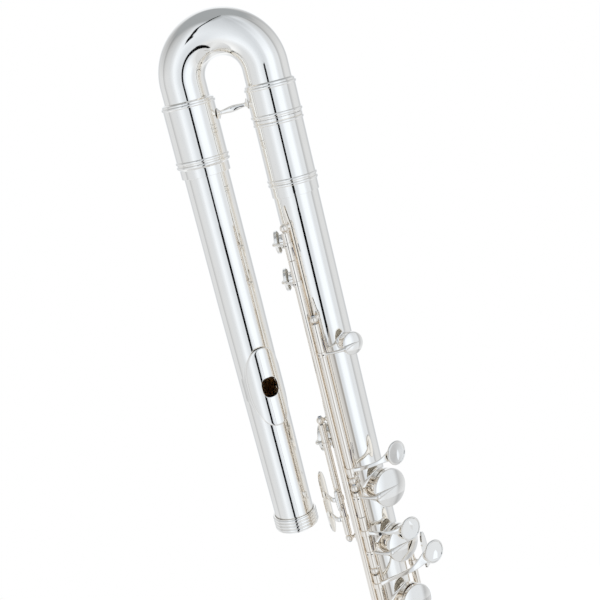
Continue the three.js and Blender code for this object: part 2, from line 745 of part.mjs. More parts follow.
function g_sharp_key() {
  const place = rods.g_sharp;
  const hole = holes.g_sharp;
  const { off, line, up, length, arm_up } = g_sharp_touch;
  const radius = tube_radius + off;
  const low = hole.z + up;
  const arm_z = low + arm_up;
  const plate = blade(radius, line, low, low + length, lever_width, 1);
  const tip = on_circle(radius + lever_thickness / 2, line);
  const knee = on_circle((radius + place.length()) / 2, (line + line_of(place)) / 2);
  const arm = bar([place, knee, tip].map((p) => new THREE.Vector3(p.x, p.y, arm_z)), touch_arm_radius);
  const tube = between(g_sharp_posts, 0);
  key(flute, {
    name: 'key_g_sharp', place, tube, extras: [join(arm, plate)],
    cups: [{ hole, root: hole.z, pad: 'pad_g_sharp' }],
  });
}

// Foot keys. The low C key is pinned to the steel, which turns with it inside the other two tubes.
const foot_touch_off = 15.25;
const foot_touch_radius = tube_radius + foot_touch_off;
const roller_line = 20;
const roller_down = { c: 25, c_sharp: 39 };
const roller_heights = {
  c: holes.d_sharp.z - roller_down.c, c_sharp: holes.d_sharp.z - roller_down.c_sharp,
};
const foot_split_down = 14;
const foot_split = {
  d_sharp: holes.d_sharp.z - foot_split_down, c_touch: (roller_heights.c + roller_heights.c_sharp) / 2,
  c_sharp: holes.c_sharp.z - foot_split_down,
};
const d_sharp_touch_line = -48;
const d_sharp_touch_length = 22;

// A forked arm whose end carries a roller on a pin along the tube.
function roller_arm(z, open) {
  const place = rods.main;
  const tip = on_circle(foot_touch_radius, roller_line);
  const bend = on_circle(place.length() + past_post, (line_of(place) + roller_line) / 2);
  const rest = [place, bend, tip].map((p) => new THREE.Vector3(p.x, p.y, z));
  const points = rest.map((point) => shut_point(point, place, open));
  return bar(points, touch_arm_radius);
}

// The pin and its roller lie across the tube at the arm's end.
function roller_pieces(z, open) {
  const tip = on_circle(foot_touch_radius, roller_line);
  const along = (geometry) => {
    const laid = geometry.rotateX(-Math.PI / 2).translate(0, touch_arm_radius, 0);
    laid.rotateZ(turn_to(roller_line) + radians(open));
    const seat = shut_point(new THREE.Vector3(tip.x, tip.y, z), rods.main, open);
    return laid.translate(seat.x, seat.y, seat.z);
  };
  const end = roller_length + fit_gap;
  const pin = turned([
    [0, -2 * touch_arm_radius], [roller_pin, -2 * touch_arm_radius], [roller_pin, end], [2 * roller_pin, end],
    [2 * roller_pin, end + roller_pin], [0, end + roller_pin],
  ], hinge_sides);
  return { pin: along(pin), roller: along(pipe(roller_pin + fit_gap, roller_radius, fit_gap, roller_length, hinge_sides)) };
}

function foot_keys() {
  const place = rods.main;
  const span = between(foot_posts, 0);
  const [low_c, c_sharp, c_touch, d_sharp] = split(span, foot_split.c_sharp, foot_split.c_touch, foot_split.d_sharp);
  const touch_low = holes.d_sharp.z - d_sharp_touch_length / 2;
  const plate = blade(
    foot_touch_radius, d_sharp_touch_line, touch_low, touch_low + d_sharp_touch_length, lever_width, -1);
  const tip = on_circle(foot_touch_radius + lever_thickness / 2, d_sharp_touch_line);
  const knee = on_circle(place.length() + past_post, (line_of(place) + d_sharp_touch_line) / 2);
  const arm = bar([place, knee, tip].map((p) => new THREE.Vector3(p.x, p.y, holes.d_sharp.z)), touch_arm_radius);
  key(foot, {
    name: 'key_low_d_sharp', place, tube: d_sharp, extras: [join(arm, plate)],
    cups: [{ hole: holes.d_sharp, root: holes.d_sharp.z, pad: 'pad_low_d_sharp' }],
  });
  const open = open_angle;
  const { pin, roller } = roller_pieces(roller_heights.c_sharp, open);
  key(foot, {
    name: 'key_low_c_sharp', place, tube: c_sharp, open,
    extras: [roller_arm(roller_heights.c_sharp, open), pin], riders: [['roller_c_sharp', roller]],
    cups: [{ hole: holes.c_sharp, root: holes.c_sharp.z, pad: 'pad_low_c_sharp' }],
  });
  const low_c_roller = roller_pieces(roller_heights.c, open);
  pinned_key(foot, {
    name: 'key_low_c', place, open, spans: [low_c, c_touch], posts: foot_posts, hole: holes.c, pad: 'pad_low_c',
    extras: [roller_arm(roller_heights.c, open), low_c_roller.pin], riders: [['roller_c', low_c_roller.roller]],
  });
}

// Bow

// Centre line of the bow's half circle, from the left leg to the right.
class BowLine extends THREE.Curve {
  constructor(arc_height) {
    super();
    this.arc_height = arc_height;
  }

  getPoint(share, target = new THREE.Vector3()) {
    const angle = Math.PI * (1 - share);
    return target.set(
      bow_radius * Math.cos(angle) - bow_radius, 0, this.arc_height + bow_radius * Math.sin(angle));
  }
}

const circle_shape = (radius, sides) => {
  const points = Array.from({ length: sides }, (_, i) => {
    const angle = (2 * Math.PI * i) / sides;
    return new THREE.Vector2(radius * Math.cos(angle), radius * Math.sin(angle));
  });
  return new THREE.Shape(points);
};

function bow_tube() {
  const arc_height = bow_ring_height + bow_straight;
  const path = new BowLine(arc_height);
  const swept = (radius) => new THREE.ExtrudeGeometry(circle_shape(radius, bow_sides), {
    steps: bow_steps, extrudePath: path, bevelEnabled: false,
  });
  const left_low = bow_ring_height - bow_leg_in_sleeve;
  const leg = (radius, x, low) => rod(radius, low, arc_height + fit_gap, bow_sides).translate(x, 0, 0);
  const shell = join(
    swept(tube_radius), leg(tube_radius, -leg_spacing, left_low), leg(tube_radius, 0, tenon_bottom));
  return cut(
    shell, swept(bore_radius), leg(bore_radius, -leg_spacing, left_low - overrun),
    leg(bore_radius, 0, tenon_bottom - overrun));
}

// A raised ring on a sleeve: half round in section, from `low` up.
const ring_profile = (outer, low) => [
  [outer, low], [outer + ring_rise, low + ring_width / 2], [outer, low + ring_width],
];

// The left sleeve holds the bow's left leg above and takes the lip tube below.
function bow_sleeve() {
  const top = bow_ring_height;
  const low = top - left_sleeve_length;
  const collar = socket_radius + collar_wall;
  return turned([
    [socket_radius, low - collar_length], [collar, low - collar_length], [collar, low - ring_gap],
    [sleeve_outer, low], ...ring_profile(sleeve_outer, low), ...ring_profile(sleeve_outer, low + ring_width + ring_gap),
    ...ring_profile(sleeve_outer, top - 2 * ring_width), [sleeve_outer, top - ring_width / 2],
    [socket_radius, top], [socket_radius, low - collar_length],
  ], tube_sides);
}

// The ferrule on the right leg rests on the barrel's rim.
function bow_ferrule() {
  const low = barrel_top + fit_gap;
  return turned([
    [socket_radius, low], [ferrule_outer, low], ...ring_profile(ferrule_outer, low + ring_gap),
    ...ring_profile(ferrule_outer, bow_ring_height - 2 * ring_width),
    [ferrule_outer, bow_ring_height - ring_width / 2], [socket_radius, bow_ring_height], [socket_radius, low],
  ], tube_sides);
}

// The barrel is fixed on the body tube and holds the bow's right leg.
function barrel() {
  const low = barrel_bottom;
  return turned([
    [socket_radius, low - collar_length], [socket_radius + ferrule_wall / 2, low - collar_length],
    [barrel_outer, low], ...ring_profile(barrel_outer, low + fit_gap),
    ...ring_profile(barrel_outer, low + ring_width + ring_gap), ...ring_profile(barrel_outer, barrel_top - 2 * ring_width),
    [barrel_outer + ring_rise / 2, barrel_top], [socket_radius, barrel_top], [socket_radius, low - collar_length],
  ], tube_sides);
}

// A turned strut between the two sleeves, with a flange at each end.
function brace() {
  const start = -leg_spacing + sleeve_outer + fit_gap;
  const end = -ferrule_outer - fit_gap;
  const middle = (start + end) / 2;
  const waist = brace_waist_share * brace_radius;
  return outward(turned([
    [0, start], [brace_flange_radius, start], [waist, start + brace_flange], [brace_radius, middle],
    [waist, end - brace_flange], [brace_flange_radius, end], [0, end],
  ], post_sides)).translate(0, 0, brace_height);
}

// Lip tube

const lip_tube_top = bow_ring_height - bow_leg_in_sleeve - fit_gap;

function mouth_shape(grow) {
  const half_w = mouth_width / 2 + grow;
  const half_l = mouth_length / 2 + grow;
  const corner = mouth_corner + grow;
  const shape = new THREE.Shape();
  shape.moveTo(half_w, -half_l + corner);
  shape.absarc(half_w - corner, half_l - corner, corner, 0, Math.PI / 2);
  shape.absarc(-half_w + corner, half_l - corner, corner, Math.PI / 2, Math.PI);
  shape.absarc(-half_w + corner, -half_l + corner, corner, Math.PI, 3 * Math.PI / 2);
  shape.absarc(half_w - corner, -half_l + corner, corner, 3 * Math.PI / 2, 2 * Math.PI);
  return shape;
}

// A block with the mouth hole's outline, along +X from `low` to `high`.
function mouth_block(grow, low, high) {
  const block = new THREE.ExtrudeGeometry(
    mouth_shape(grow), { depth: high - low, bevelEnabled: false, curveSegments: mouth_parts });
  return block.applyMatrix4(plan_to_side).translate(low, 0, lip_height);
}

const plate_top = plate_offset + plate_radius;

function lip_tube() {
  const seat = socket_radius - fit_gap;
  const bore_end = lip_tube_end_radius - tube_wall;
  const shell = turned([
    [bore_end, lip_tube_bottom], [lip_tube_end_radius, lip_tube_bottom], [seat, lip_height + plate_length],
    [seat, lip_tube_top], [bore_radius, lip_tube_top], [bore_radius, lip_height + plate_length],
    [bore_end, lip_tube_bottom],
  ], tube_sides);
  return cut(shell, mouth_block(0, 0, plate_top + overrun));
}

// The curved lip plate on its riser, over the mouth hole.
function lip_plate() {
  const low = lip_height - plate_length / 2 - overrun;
  const high = lip_height + plate_length / 2 + overrun;
  const shell = pipe(plate_radius - plate_wall, plate_radius, low, high, tube_sides).translate(plate_offset, 0, 0);
  const oval = new THREE.Shape(Array.from({ length: tube_sides }, (_, i) => {
    const angle = (2 * Math.PI * i) / tube_sides;
    const full = (share) => Math.sign(share) * Math.abs(share) ** plate_fullness_share;
    return new THREE.Vector2(full(Math.cos(angle)) * plate_width / 2, full(Math.sin(angle)) * plate_length / 2);
  }));
  const plan = new THREE.ExtrudeGeometry(oval, { depth: plate_top + overrun, bevelEnabled: false });
  const plate = common(shell, plan.applyMatrix4(plan_to_side).translate(plate_offset, 0, lip_height));
  const riser = mouth_block(riser_wall, 0, plate_top - plate_wall / 2);
  const seat = rod(tube_radius + fit_gap, low - overrun, high + overrun, tube_sides);
  return cut(join(plate, riser), seat, mouth_block(0, 0, plate_top + overrun));
}

// Crown: a grooved cap that turns on the stopper's screw.
function crown() {
  const top = lip_tube_bottom - fit_gap;
  const low = top - crown_height;
  const spigot = lip_tube_end_radius - tube_wall - fit_gap;
  const beads = [0, 1, 2].flatMap((i) => {
    const z = low + crown_dome + (i + 1) * crown_bead;
    return [[crown_radius - crown_groove, z], [crown_radius, z + crown_bead / 2]];
  });
  const blank = turned([
    [0, low], [crown_radius / 2, low + crown_dome / 6], [crown_radius - crown_dome, low + crown_dome / 2],
    [crown_radius, low + crown_dome], ...beads, [crown_radius - crown_groove, top - crown_groove],
    [crown_radius, top], [spigot, top], [spigot, top + crown_spigot],
    [spigot - crown_spigot_wall, top + crown_spigot], [spigot - crown_spigot_wall, low + crown_dome + crown_floor],
    [crown_hole, low + crown_dome + crown_floor], [crown_hole, low + crown_dome / 3], [0, low + crown_dome / 3],
  ], tube_sides);
  return blank;
}

const stopper_face = lip_height - stopper_from_mouth;
const cork_top = stopper_face - stopper_plate - fit_gap;
const cork_low = cork_top - cork_length;

// The bore tapers towards the crown, so a disc's radius depends on its height.
function lip_bore_at(z) {
  const share = Math.min((z - lip_tube_bottom) / (lip_height + plate_length - lip_tube_bottom), 1);
  return lip_tube_end_radius - tube_wall + share * (tube_radius - lip_tube_end_radius);
}

function stopper_screw() {
  const disc = lip_bore_at(stopper_face - stopper_plate) - 2 * fit_gap;
  const low = lip_tube_bottom - crown_height + crown_dome;
  return turned([
    [0, low], [screw_radius, low], [screw_radius, stopper_face - stopper_plate],
    [disc, stopper_face - stopper_plate], [disc, stopper_face], [0, stopper_face],
  ], cup_sides);
}

function stopper_cork() {
  return pipe(screw_radius + fit_gap, lip_bore_at(cork_low) - fit_gap, cork_low, cork_top, cup_sides);
}

function stopper_washer_ring() {
  const high = cork_low - fit_gap;
  const outer = lip_bore_at(high - stopper_washer) - 2 * fit_gap;
  return pipe(screw_radius + fit_gap, outer, high - stopper_washer, high, cup_sides);
}

// Assembly

function body_pieces() {
  add(flute, 'body_tube', body_tube(), silver);
  add(flute, 'barrel', barrel(), silver);
  const main = rods.main;
  const main_low = foot_socket_top + fit_gap;
  const main_high = main_posts[0] + spear_past_post;
  add(flute, 'main_rib', posted_rib(
    rib(line_of(main), main_low, main_high, true), [{ place: main, heights: main_posts }]), silver);
  const trill_low = trill_posts[1] - rib_past_post;
  const trill_high = trill_posts[0] + spear_past_post;
  add(flute, 'trill_rib', posted_rib(
    rib(trill_rod_angle, trill_low, trill_high, true), [{ place: rods.trill, heights: trill_posts }]), silver);
  const side_rib = (name, place, posts) => add(flute, name, posted_rib(
    rib(line_of(place), posts[1] - rib_past_post, posts[0] + rib_past_post + spear_length, true),
    [{ place, heights: posts }]), silver);
  side_rib('thumb_rib', rods.thumb, thumb_posts);
  const stands = [['g_sharp_post_upper', g_sharp_posts[0]], ['g_sharp_post_lower', g_sharp_posts[1]]];
  for (const [name, z] of stands) {
    const plate = rib(line_of(rods.g_sharp), z - rib_past_post, z + rib_past_post, false);
    add(flute, name, posted_rib(plate, [{ place: rods.g_sharp, heights: [z] }]), silver);
  }
  add(flute, 'upper_steel', steel(main, main_posts.slice(0, 2)), blued_steel);
  add(flute, 'lower_steel', steel(main, main_posts.slice(2)), blued_steel);
  add(flute, 'thumb_steel', steel(rods.thumb, thumb_posts), blued_steel);
  add(flute, 'g_sharp_steel', steel(rods.g_sharp, g_sharp_posts), blued_steel);
}

function foot_pieces() {
  foot.rotation.z = radians(foot_turn);
  add(foot, 'foot_tube', foot_tube(), silver);
  const place = rods.main;
  const strap = rib(line_of(place), foot_posts[1] - rib_past_post, foot_socket_floor - foot_ring_length - fit_gap, false);
  add(foot, 'foot_rib', posted_rib(strap, [{ place, heights: foot_posts }]), silver);
}

function bow_pieces() {
  add(flute, 'bow_tube', bow_tube(), silver);
  add(flute, 'bow_sleeve', bow_sleeve(), silver).position.x = -leg_spacing;
  add(flute, 'bow_ferrule', bow_ferrule(), silver);
  add(flute, 'bow_brace', brace(), silver);
}

function lip_pieces() {
  lip.position.x = -leg_spacing;
  lip.rotation.z = turn_to(lip_turn);
  add(lip, 'lip_tube', lip_tube(), silver);
  add(lip, 'lip_plate', lip_plate(), silver);
  add(lip, 'crown', crown(), silver);
  add(lip, 'stopper_screw', stopper_screw(), satin_silver);
  add(lip, 'stopper_cork', stopper_cork(), cork_brown);
  add(lip, 'stopper_washer', stopper_washer_ring(), satin_silver);
}

body_pieces();
foot_pieces();
bow_pieces();
lip_pieces();
main_keys();
trill_keys();
thumb_keys();
g_sharp_key();
foot_keys();

export default flute;
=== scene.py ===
import json
import math

import bmesh
import bpy
import numpy as np
from mathutils import Matrix, Vector


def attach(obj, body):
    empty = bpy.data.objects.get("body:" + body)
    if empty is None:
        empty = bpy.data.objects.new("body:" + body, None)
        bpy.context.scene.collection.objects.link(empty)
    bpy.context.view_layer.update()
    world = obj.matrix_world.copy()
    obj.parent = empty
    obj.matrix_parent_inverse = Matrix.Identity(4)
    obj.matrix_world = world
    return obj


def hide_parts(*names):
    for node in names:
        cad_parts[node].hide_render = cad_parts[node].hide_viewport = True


bl_info = {
    "name": "Bass flute",
    "version": (1, 0, 0),
    "blender": (4, 5, 0),
    "location": "3D View > Sidebar > Bass flute",
    "description": "Dresses a bass flute with smooth polished tubes, keys, pads, springs and screws",
    "category": "Object",
}

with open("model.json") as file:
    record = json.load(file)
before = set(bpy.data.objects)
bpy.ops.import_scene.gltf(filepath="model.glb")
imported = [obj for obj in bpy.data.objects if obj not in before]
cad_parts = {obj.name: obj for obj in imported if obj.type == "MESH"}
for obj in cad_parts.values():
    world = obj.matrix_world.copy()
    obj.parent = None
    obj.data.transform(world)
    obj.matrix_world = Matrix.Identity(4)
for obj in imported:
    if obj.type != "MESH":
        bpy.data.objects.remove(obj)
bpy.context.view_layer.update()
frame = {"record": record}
BODY_OF = {node: body for body, nodes in frame["record"]["behaviour"]["bodies"].items() for node in nodes}

# Sizes shared with the solids, in millimetres and degrees

MM = 0.001
TUBE = 15.75
WALL = 0.7
BORE = TUBE - WALL
SOCKET = TUBE + 0.3
GAP = 0.3
LEGS = 57.4
HOLE_STEPS = {
    "c": 88, "c_sharp": 69, "d_sharp": 65, "d": 62, "e": 56, "f": 54, "f_sharp": 51, "g_low": 47, "g_high": 36,
    "a": 50, "b_flat": 45, "thumb": 37.8, "vent": 74.7, "trill_low": 49.5, "trill_high": 27.5,
}
LARGE = {"radius": 11.25, "wall": 0.8, "rise": 3.5, "cup": 14}
FOOT = {"radius": 12, "wall": 0.8, "rise": 3.5, "cup": 15}
SIDE = {"radius": 10.4, "wall": 0.8, "rise": 3.5, "cup": 13.2}
THUMB = {"radius": 7.4, "wall": 0.8, "rise": 3.5, "cup": 11}
VENT = {"radius": 5.4, "wall": 0.7, "rise": 3, "cup": 8.15}
TRILL = {"radius": 4.8, "wall": 0.7, "rise": 3, "cup": 8.4, "squat": 0.7}
HOLE_KINDS = {"c": FOOT, "c_sharp": FOOT, "d_sharp": FOOT, "thumb": THUMB, "vent": VENT,
              "trill_low": TRILL, "trill_high": TRILL}
STACK_LINE = 52
HOLE_LINES = {"thumb": -111, "vent": 45, "trill_low": -90, "trill_high": -90}
HOLES = {}
height = 0
for note, step in HOLE_STEPS.items():
    height += step
    HOLES[note] = dict(HOLE_KINDS.get(note, LARGE), line=HOLE_LINES.get(note, STACK_LINE), z=height)
HOLES["g_sharp"] = dict(SIDE, line=165, z=HOLES["g_low"]["z"])
HOLE_Z = {note: hole["z"] for note, hole in HOLES.items()}
FOOT_NOTES = ("c", "c_sharp", "d_sharp")

SOCKET_TOP = HOLE_Z["d_sharp"] + 40
SOCKET_FLOOR = SOCKET_TOP - 21
BODY_LOW = SOCKET_FLOOR + GAP
BARREL_LOW = HOLE_Z["trill_high"] + 38.5
BARREL_TOP = BARREL_LOW + 46.5
BODY_TOP = BARREL_LOW + 15
RING_HEIGHT = BARREL_TOP + GAP + 23.7
SLEEVE = SOCKET + 2
FERRULE = SOCKET + 1.2
BARREL = SOCKET + 0.75
LIP_HEIGHT = RING_HEIGHT - 207
LIP_LOW = LIP_HEIGHT - 106.5
LIP_END = TUBE - 1.05
TAPER_TOP = LIP_HEIGHT + 59
FOOT_TURN = -10
OPEN = 10
BRACE_TILT = 5

PAD_TOP = 3.4
RECESS = 3.7
SKIRT_LOW = 1.3
SKIRT_HIGH = 3.9
CUP_TOP = 5.8
STEEL = 1.05
HINGE_BORE = 1.35
HINGE = 2.65
BALL = 2.9
PAST_POST = BALL + GAP
RIB_IN = TUBE + GAP
RIB_OUT = RIB_IN + 1.2
TOUCH = 8.9
ARM_DROP = 1.8
CROWN_TALL = 11
CROWN_BASE = 3.2
LEVER_RADIUS = TUBE + 15.25
TRILL_RADIUS = TUBE + 13.25
THUMB_RADIUS = TUBE + 15.75
TRILL_LINE = 30
THUMB_LINE = -95
THUMB_FACING = -124
G_SHARP_LINE = 93
ROLLER_LINE = 20
D_SHARP_LINE = -48
STRAP_END = 5
SPEAR_END = 14.2
SHARP_ANGLE = 38
TUBE_SIDES = 128
SEEN, DARK, HINGED = 0, 1, 2  # a face's finish: its piece's first, second or third


def halfway(a, b):
    """The height midway between two tone holes."""
    return (HOLE_Z[a] + HOLE_Z[b]) / 2


B_FLAT_POST = HOLE_Z["b_flat"] + 5.8
MAIN_POSTS = [HOLE_Z["vent"] + 22.7, B_FLAT_POST + 6.1, B_FLAT_POST, HOLE_Z["a"] - 16.5,
              halfway("f_sharp", "g_low"), SOCKET_TOP + 3.5]
TOUCH_HIGH, TOUCH_LOW = halfway("e", "f"), halfway("f", "f_sharp")
TRILL_POSTS = [HOLE_Z["trill_high"] + 12, TOUCH_HIGH - 15]
THUMB_POSTS = [HOLE_Z["thumb"] + 18.7, HOLE_Z["thumb"] + 18.7 - 95.5]
G_SHARP_POSTS = [HOLE_Z["g_sharp"] + 74, HOLE_Z["g_sharp"] - 18]
FOOT_POSTS = [HOLE_Z["d_sharp"] + 8.5, HOLE_Z["c"] - 22]


def on_circle(radius, line, z=0.0):
    """A point round a tube, its line counted from the front and turning to +X."""
    a = math.radians(line)
    return np.array([radius * math.sin(a), -radius * math.cos(a), z])


def line_of(place):
    """The line round the tube, in degrees from the front, on which a place lies."""
    return math.degrees(math.atan2(place[0], -place[1]))


def reach_of(place):
    """How far a place lies from the tube's axis."""
    return np.hypot(place[0], place[1])


RODS = {
    "main": on_circle(TUBE + 6.45, -15.5),
    "trill": on_circle(TUBE + 5.75, -32),
    "thumb": on_circle(TUBE + 6.05, -70),
    "g_sharp": on_circle(TUBE + 5.05, 105),
}

# Forms: points in millimetres, the faces that join them, and the finish of each face


class Form:
    """A shape on its way to a mesh. Each change gives a new form."""

    def __init__(self, points, faces, tint=SEEN):
        self.points = np.array(points, float).reshape(-1, 3)
        self.faces = [tuple(face) for face in faces]
        self.tints = [tint] * len(self.faces) if isinstance(tint, int) else list(tint)

    def __add__(self, other):
        shift = len(self.points)
        faces = self.faces + [tuple(i + shift for i in face) for face in other.faces]
        return Form(np.vstack([self.points, other.points]), faces, self.tints + other.tints)

    def moved(self, matrix):
        m = np.array(matrix)
        return Form(self.points @ m[:3, :3].T + m[:3, 3], self.faces, self.tints)

    def shifted(self, x=0.0, y=0.0, z=0.0):
        return self.moved(Matrix.Translation((x, y, z)))

    def at(self, place, z=0.0):
        """Stands a form drawn round the Z axis on the line of a rod."""
        return self.shifted(place[0], place[1], z)

    def spun(self, degrees, axis="Z"):
        return self.moved(Matrix.Rotation(math.radians(degrees), 4, axis))

    def outward(self):
        """The same form with its axis along +X instead of +Z."""
        return self.spun(90, "Y")

    def on_line(self, line, z=0.0):
        """Moves a form drawn along +X to a line round the tube."""
        return self.spun(line - 90).shifted(z=z)

    def about(self, place, degrees):
        """Turns a form about the rod that stands at `place`."""
        return self.shifted(-place[0], -place[1]).spun(degrees).at(place)

    def painted(self, tint):
        """The same form with one finish on all its faces."""
        return Form(self.points, self.faces, tint)


def joined(forms):
    """One form made of several."""
    total = Form([], [])
    for form in forms:
        total = total + form
    return total


def rounded(profile, radius=0.3, steps=3):
    """Rounds the corners of a profile, with a line kept close to each end so that flats stay flat."""
    points = [np.array(p, float) for p in profile]
    closed = np.allclose(points[0], points[-1])
    if closed:
        points = points[:-1]
    out = []
    last = len(points) - 1
    for i, p in enumerate(points):
        if not closed and i in (0, last):
            out.append(p)
            continue
        a, b = points[i - 1], points[(i + 1) % len(points)]
        to_a, to_b = np.linalg.norm(a - p), np.linalg.norm(b - p)
        r = min(radius, 0.45 * to_a, 0.45 * to_b)
        ua, ub = (a - p) / max(to_a, 1e-9), (b - p) / max(to_b, 1e-9)
        if np.dot(ua, ub) < -0.985 or r < 1e-4:
            out.append(p)
            continue
        start, end = p + ua * r, p + ub * r
        out.append(start + ua * r * 0.08)
        for k in range(steps + 1):
            t = k / steps
            out.append(start * (1 - t) ** 2 + 2 * p * t * (1 - t) + end * t ** 2)
        out.append(end + ub * r * 0.08)
    if closed:
        out.append(out[0])
    return out


def turned(profile, sides=64, tint=SEEN, tints=None):
    """A form turned about Z from [radius, height] points."""
    profile = [tuple(p) for p in profile]
    closed = np.allclose(profile[0], profile[-1])
    if closed:
        profile = profile[:-1]
    points, rings = [], []
    for radius, z in profile:
        if radius < 1e-6:
            rings.append([len(points)])
            points.append((0, 0, z))
            continue
        rings.append(list(range(len(points), len(points) + sides)))
        turns = (2 * math.pi * i / sides for i in range(sides))
        points += [(radius * math.cos(a), radius * math.sin(a), z) for a in turns]
    faces, colours = [], []
    pairs = list(zip(rings, rings[1:])) + ([(rings[-1], rings[0])] if closed else [])
    for k, (a, b) in enumerate(pairs):
        if len(a) == 1 and len(b) == 1:
            continue
        for i in range(sides):
            j = (i + 1) % sides
            if len(a) == 1:
                faces.append((a[0], b[j], b[i]))
            elif len(b) == 1:
                faces.append((a[i], a[j], b[0]))
            else:
                faces.append((a[i], a[j], b[j], b[i]))
            colours.append(tints(profile[k], profile[(k + 1) % len(profile)]) if tints else tint)
    return Form(points, faces, colours)


def rod(radius, low, high, sides=32, round_over=0.2):
    """A round bar along Z with softened edges."""
    return turned(rounded([(0, low), (radius, low), (radius, high), (0, high)], round_over), sides)


def pipe(inner, outer, low, high, sides=64, round_over=0.2):
    """A tube along Z with softened edges."""
    corners = [(inner, low), (outer, low), (outer, high), (inner, high), (inner, low)]
    return turned(rounded(corners, round_over), sides)


def loft(rings, wrap=False):
    """Joins rings of equal counts with faces, and closes the ends or joins them to each other."""
    count, total = len(rings[0]), len(rings)
    faces = []
    for k in range(total if wrap else total - 1):
        a, b = k * count, (k + 1) % total * count
        for i in range(count):
            j = (i + 1) % count
            faces.append((a + i, a + j, b + j, b + i))
    if not wrap:
        faces += [tuple(reversed(range(count))), tuple(range((total - 1) * count, total * count))]
    return Form(np.vstack(rings), faces)


def smooth(rows, steps=8):
    """Rows on a smooth curve through the given rows of numbers."""
    p = [np.array(row, float) for row in rows]
    p = [2 * p[0] - p[1], *p, 2 * p[-1] - p[-2]]
    out = []
    for a, b, c, d in zip(p, p[1:], p[2:], p[3:]):
        for k in range(steps):
            t = k / steps
            out.append(0.5 * (2 * b + (c - a) * t + (2 * a - 5 * b + 4 * c - d) * t ** 2
                              + (3 * b - a - 3 * c + d) * t ** 3))
    out.append(p[-2])
    return np.array(out)


def strip(rows, up, sides=20, fullness=3.0, steps=8, tips=(0.5, 0.5)):
    """A bar along rows of (x, y, z, width, thickness), as flat or as round as its fullness says."""
    path = smooth(rows, steps)
    spots, sizes = path[:, :3], np.maximum(path[:, 3:5], 0.05)
    along = np.gradient(spots, axis=0)
    along /= np.linalg.norm(along, axis=1)[:, None]
    spots = np.vstack([spots[0] - along[0] * tips[0], spots, spots[-1] + along[-1] * tips[1]])
    along = np.vstack([along[0], along, along[-1]])
    sizes = np.vstack([sizes[0] * 0.55, sizes, sizes[-1] * 0.55])
    up = np.array(up, float)
    rings = []
    angles = 2 * np.pi * (np.arange(sides) + 0.5) / sides
    c, s = np.cos(angles), np.sin(angles)
    c, s = np.sign(c) * np.abs(c) ** (2 / fullness), np.sign(s) * np.abs(s) ** (2 / fullness)
    for spot, t, (width, thick) in zip(spots, along, sizes):
        up = up - t * np.dot(up, t)
        up /= np.linalg.norm(up)
        side = np.cross(t, up)
        rings.append(spot + np.outer(c * width / 2, side) + np.outer(s * thick / 2, up))
    return loft(rings)


def mesh_of(name, form):
    """A mesh of a form, with its faces turned outwards."""
    mesh = bpy.data.meshes.new(name)
    mesh.from_pydata((form.points * MM).tolist(), [], form.faces)
    mesh.polygons.foreach_set("material_index", form.tints)
    edit = bmesh.new()
    edit.from_mesh(mesh)
    bmesh.ops.recalc_face_normals(edit, faces=edit.faces)
    edit.to_mesh(mesh)
    edit.free()
    return mesh


def drilled(form, cutter):
    """Cuts one form out of another."""
    whole = bpy.data.objects.new("whole", mesh_of("whole", form))
    tool = bpy.data.objects.new("tool", mesh_of("tool", cutter))
    for thing in (whole, tool):
        bpy.context.scene.collection.objects.link(thing)
    cut = whole.modifiers.new("holes", "BOOLEAN")
    cut.object, cut.operation, cut.solver = tool, "DIFFERENCE", "EXACT"
    bpy.context.view_layer.update()
    mesh = bpy.data.meshes.new_from_object(whole.evaluated_get(bpy.context.evaluated_depsgraph_get()))
    for thing in (whole, tool):
        bpy.data.objects.remove(thing)
    points = np.empty(len(mesh.vertices) * 3)
    mesh.vertices.foreach_get("co", points)
    out = Form(points.reshape(-1, 3) / MM, [tuple(p.vertices) for p in mesh.polygons],
               [min(p.material_index, max(form.tints)) for p in mesh.polygons])
    bpy.data.meshes.remove(mesh)
    return out


def piece(name, form, finishes, body=None, stands_for=()):
    """Makes a smooth-shaded piece, gives it its finishes and lets it ride on its body."""
    mesh = mesh_of(name, form)
    thing = bpy.data.objects.new(name, mesh)
    bpy.context.scene.collection.objects.link(thing)
    for kind in finishes:
        mesh.materials.append(finish_of(kind))
    mesh.shade_smooth()
    mesh.set_sharp_from_angle(angle=math.radians(SHARP_ANGLE))
    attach(thing, body or BODY_OF[stands_for[0]])
    if stands_for:
        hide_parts(*stands_for)


def dressed(node, form, *finishes):
    """A piece that stands for a solid."""
    piece(f"{node}_smooth", form, finishes or ("silver",), stands_for=(node,))


# What a user may change


def colour_field(name, description, default):
    """A colour that the user may change."""
    return bpy.props.FloatVectorProperty(
        name=name, description=description, subtype="COLOR", size=3, min=0, max=1, default=default)


class FluteLooks(bpy.types.PropertyGroup):
    # The silver is partly its own warm tone and partly painted warm reflection: warmer than plain silver, so that light
    # mirrored back and forth between the keys turns tan
    silver: colour_field("Silver", "Colour of the polished silver plate", (0.965, 0.93, 0.875))
    # Shaded silver: the silver darkened and warmed, as painted shade and painted warm reflection on ribs, posts, hinge
    # tubes and collars
    handled: colour_field("Handled silver", "Colour of the silver on ribs, posts and hinge tubes", (0.94, 0.87, 0.78))
    # The bore's roughness is its own dull finish; its dark warm brown is painted shade inside the tubes and tone holes
    bore: colour_field("Bore", "Colour of the dull inside of the tubes", (0.84, 0.58, 0.31))
    steel: colour_field("Steel", "Colour of the steels that the keys turn on", (0.58, 0.6, 0.63))
    skin: colour_field("Pad skin", "Colour of the pads", (0.84, 0.77, 0.64))
    cork: colour_field("Cork", "Colour of the stopper's cork", (0.5, 0.34, 0.19))
    polish: bpy.props.FloatProperty(
        name="Polish", description="Roughness of the brightest silver", default=0.035, min=0, max=1, subtype="FACTOR")


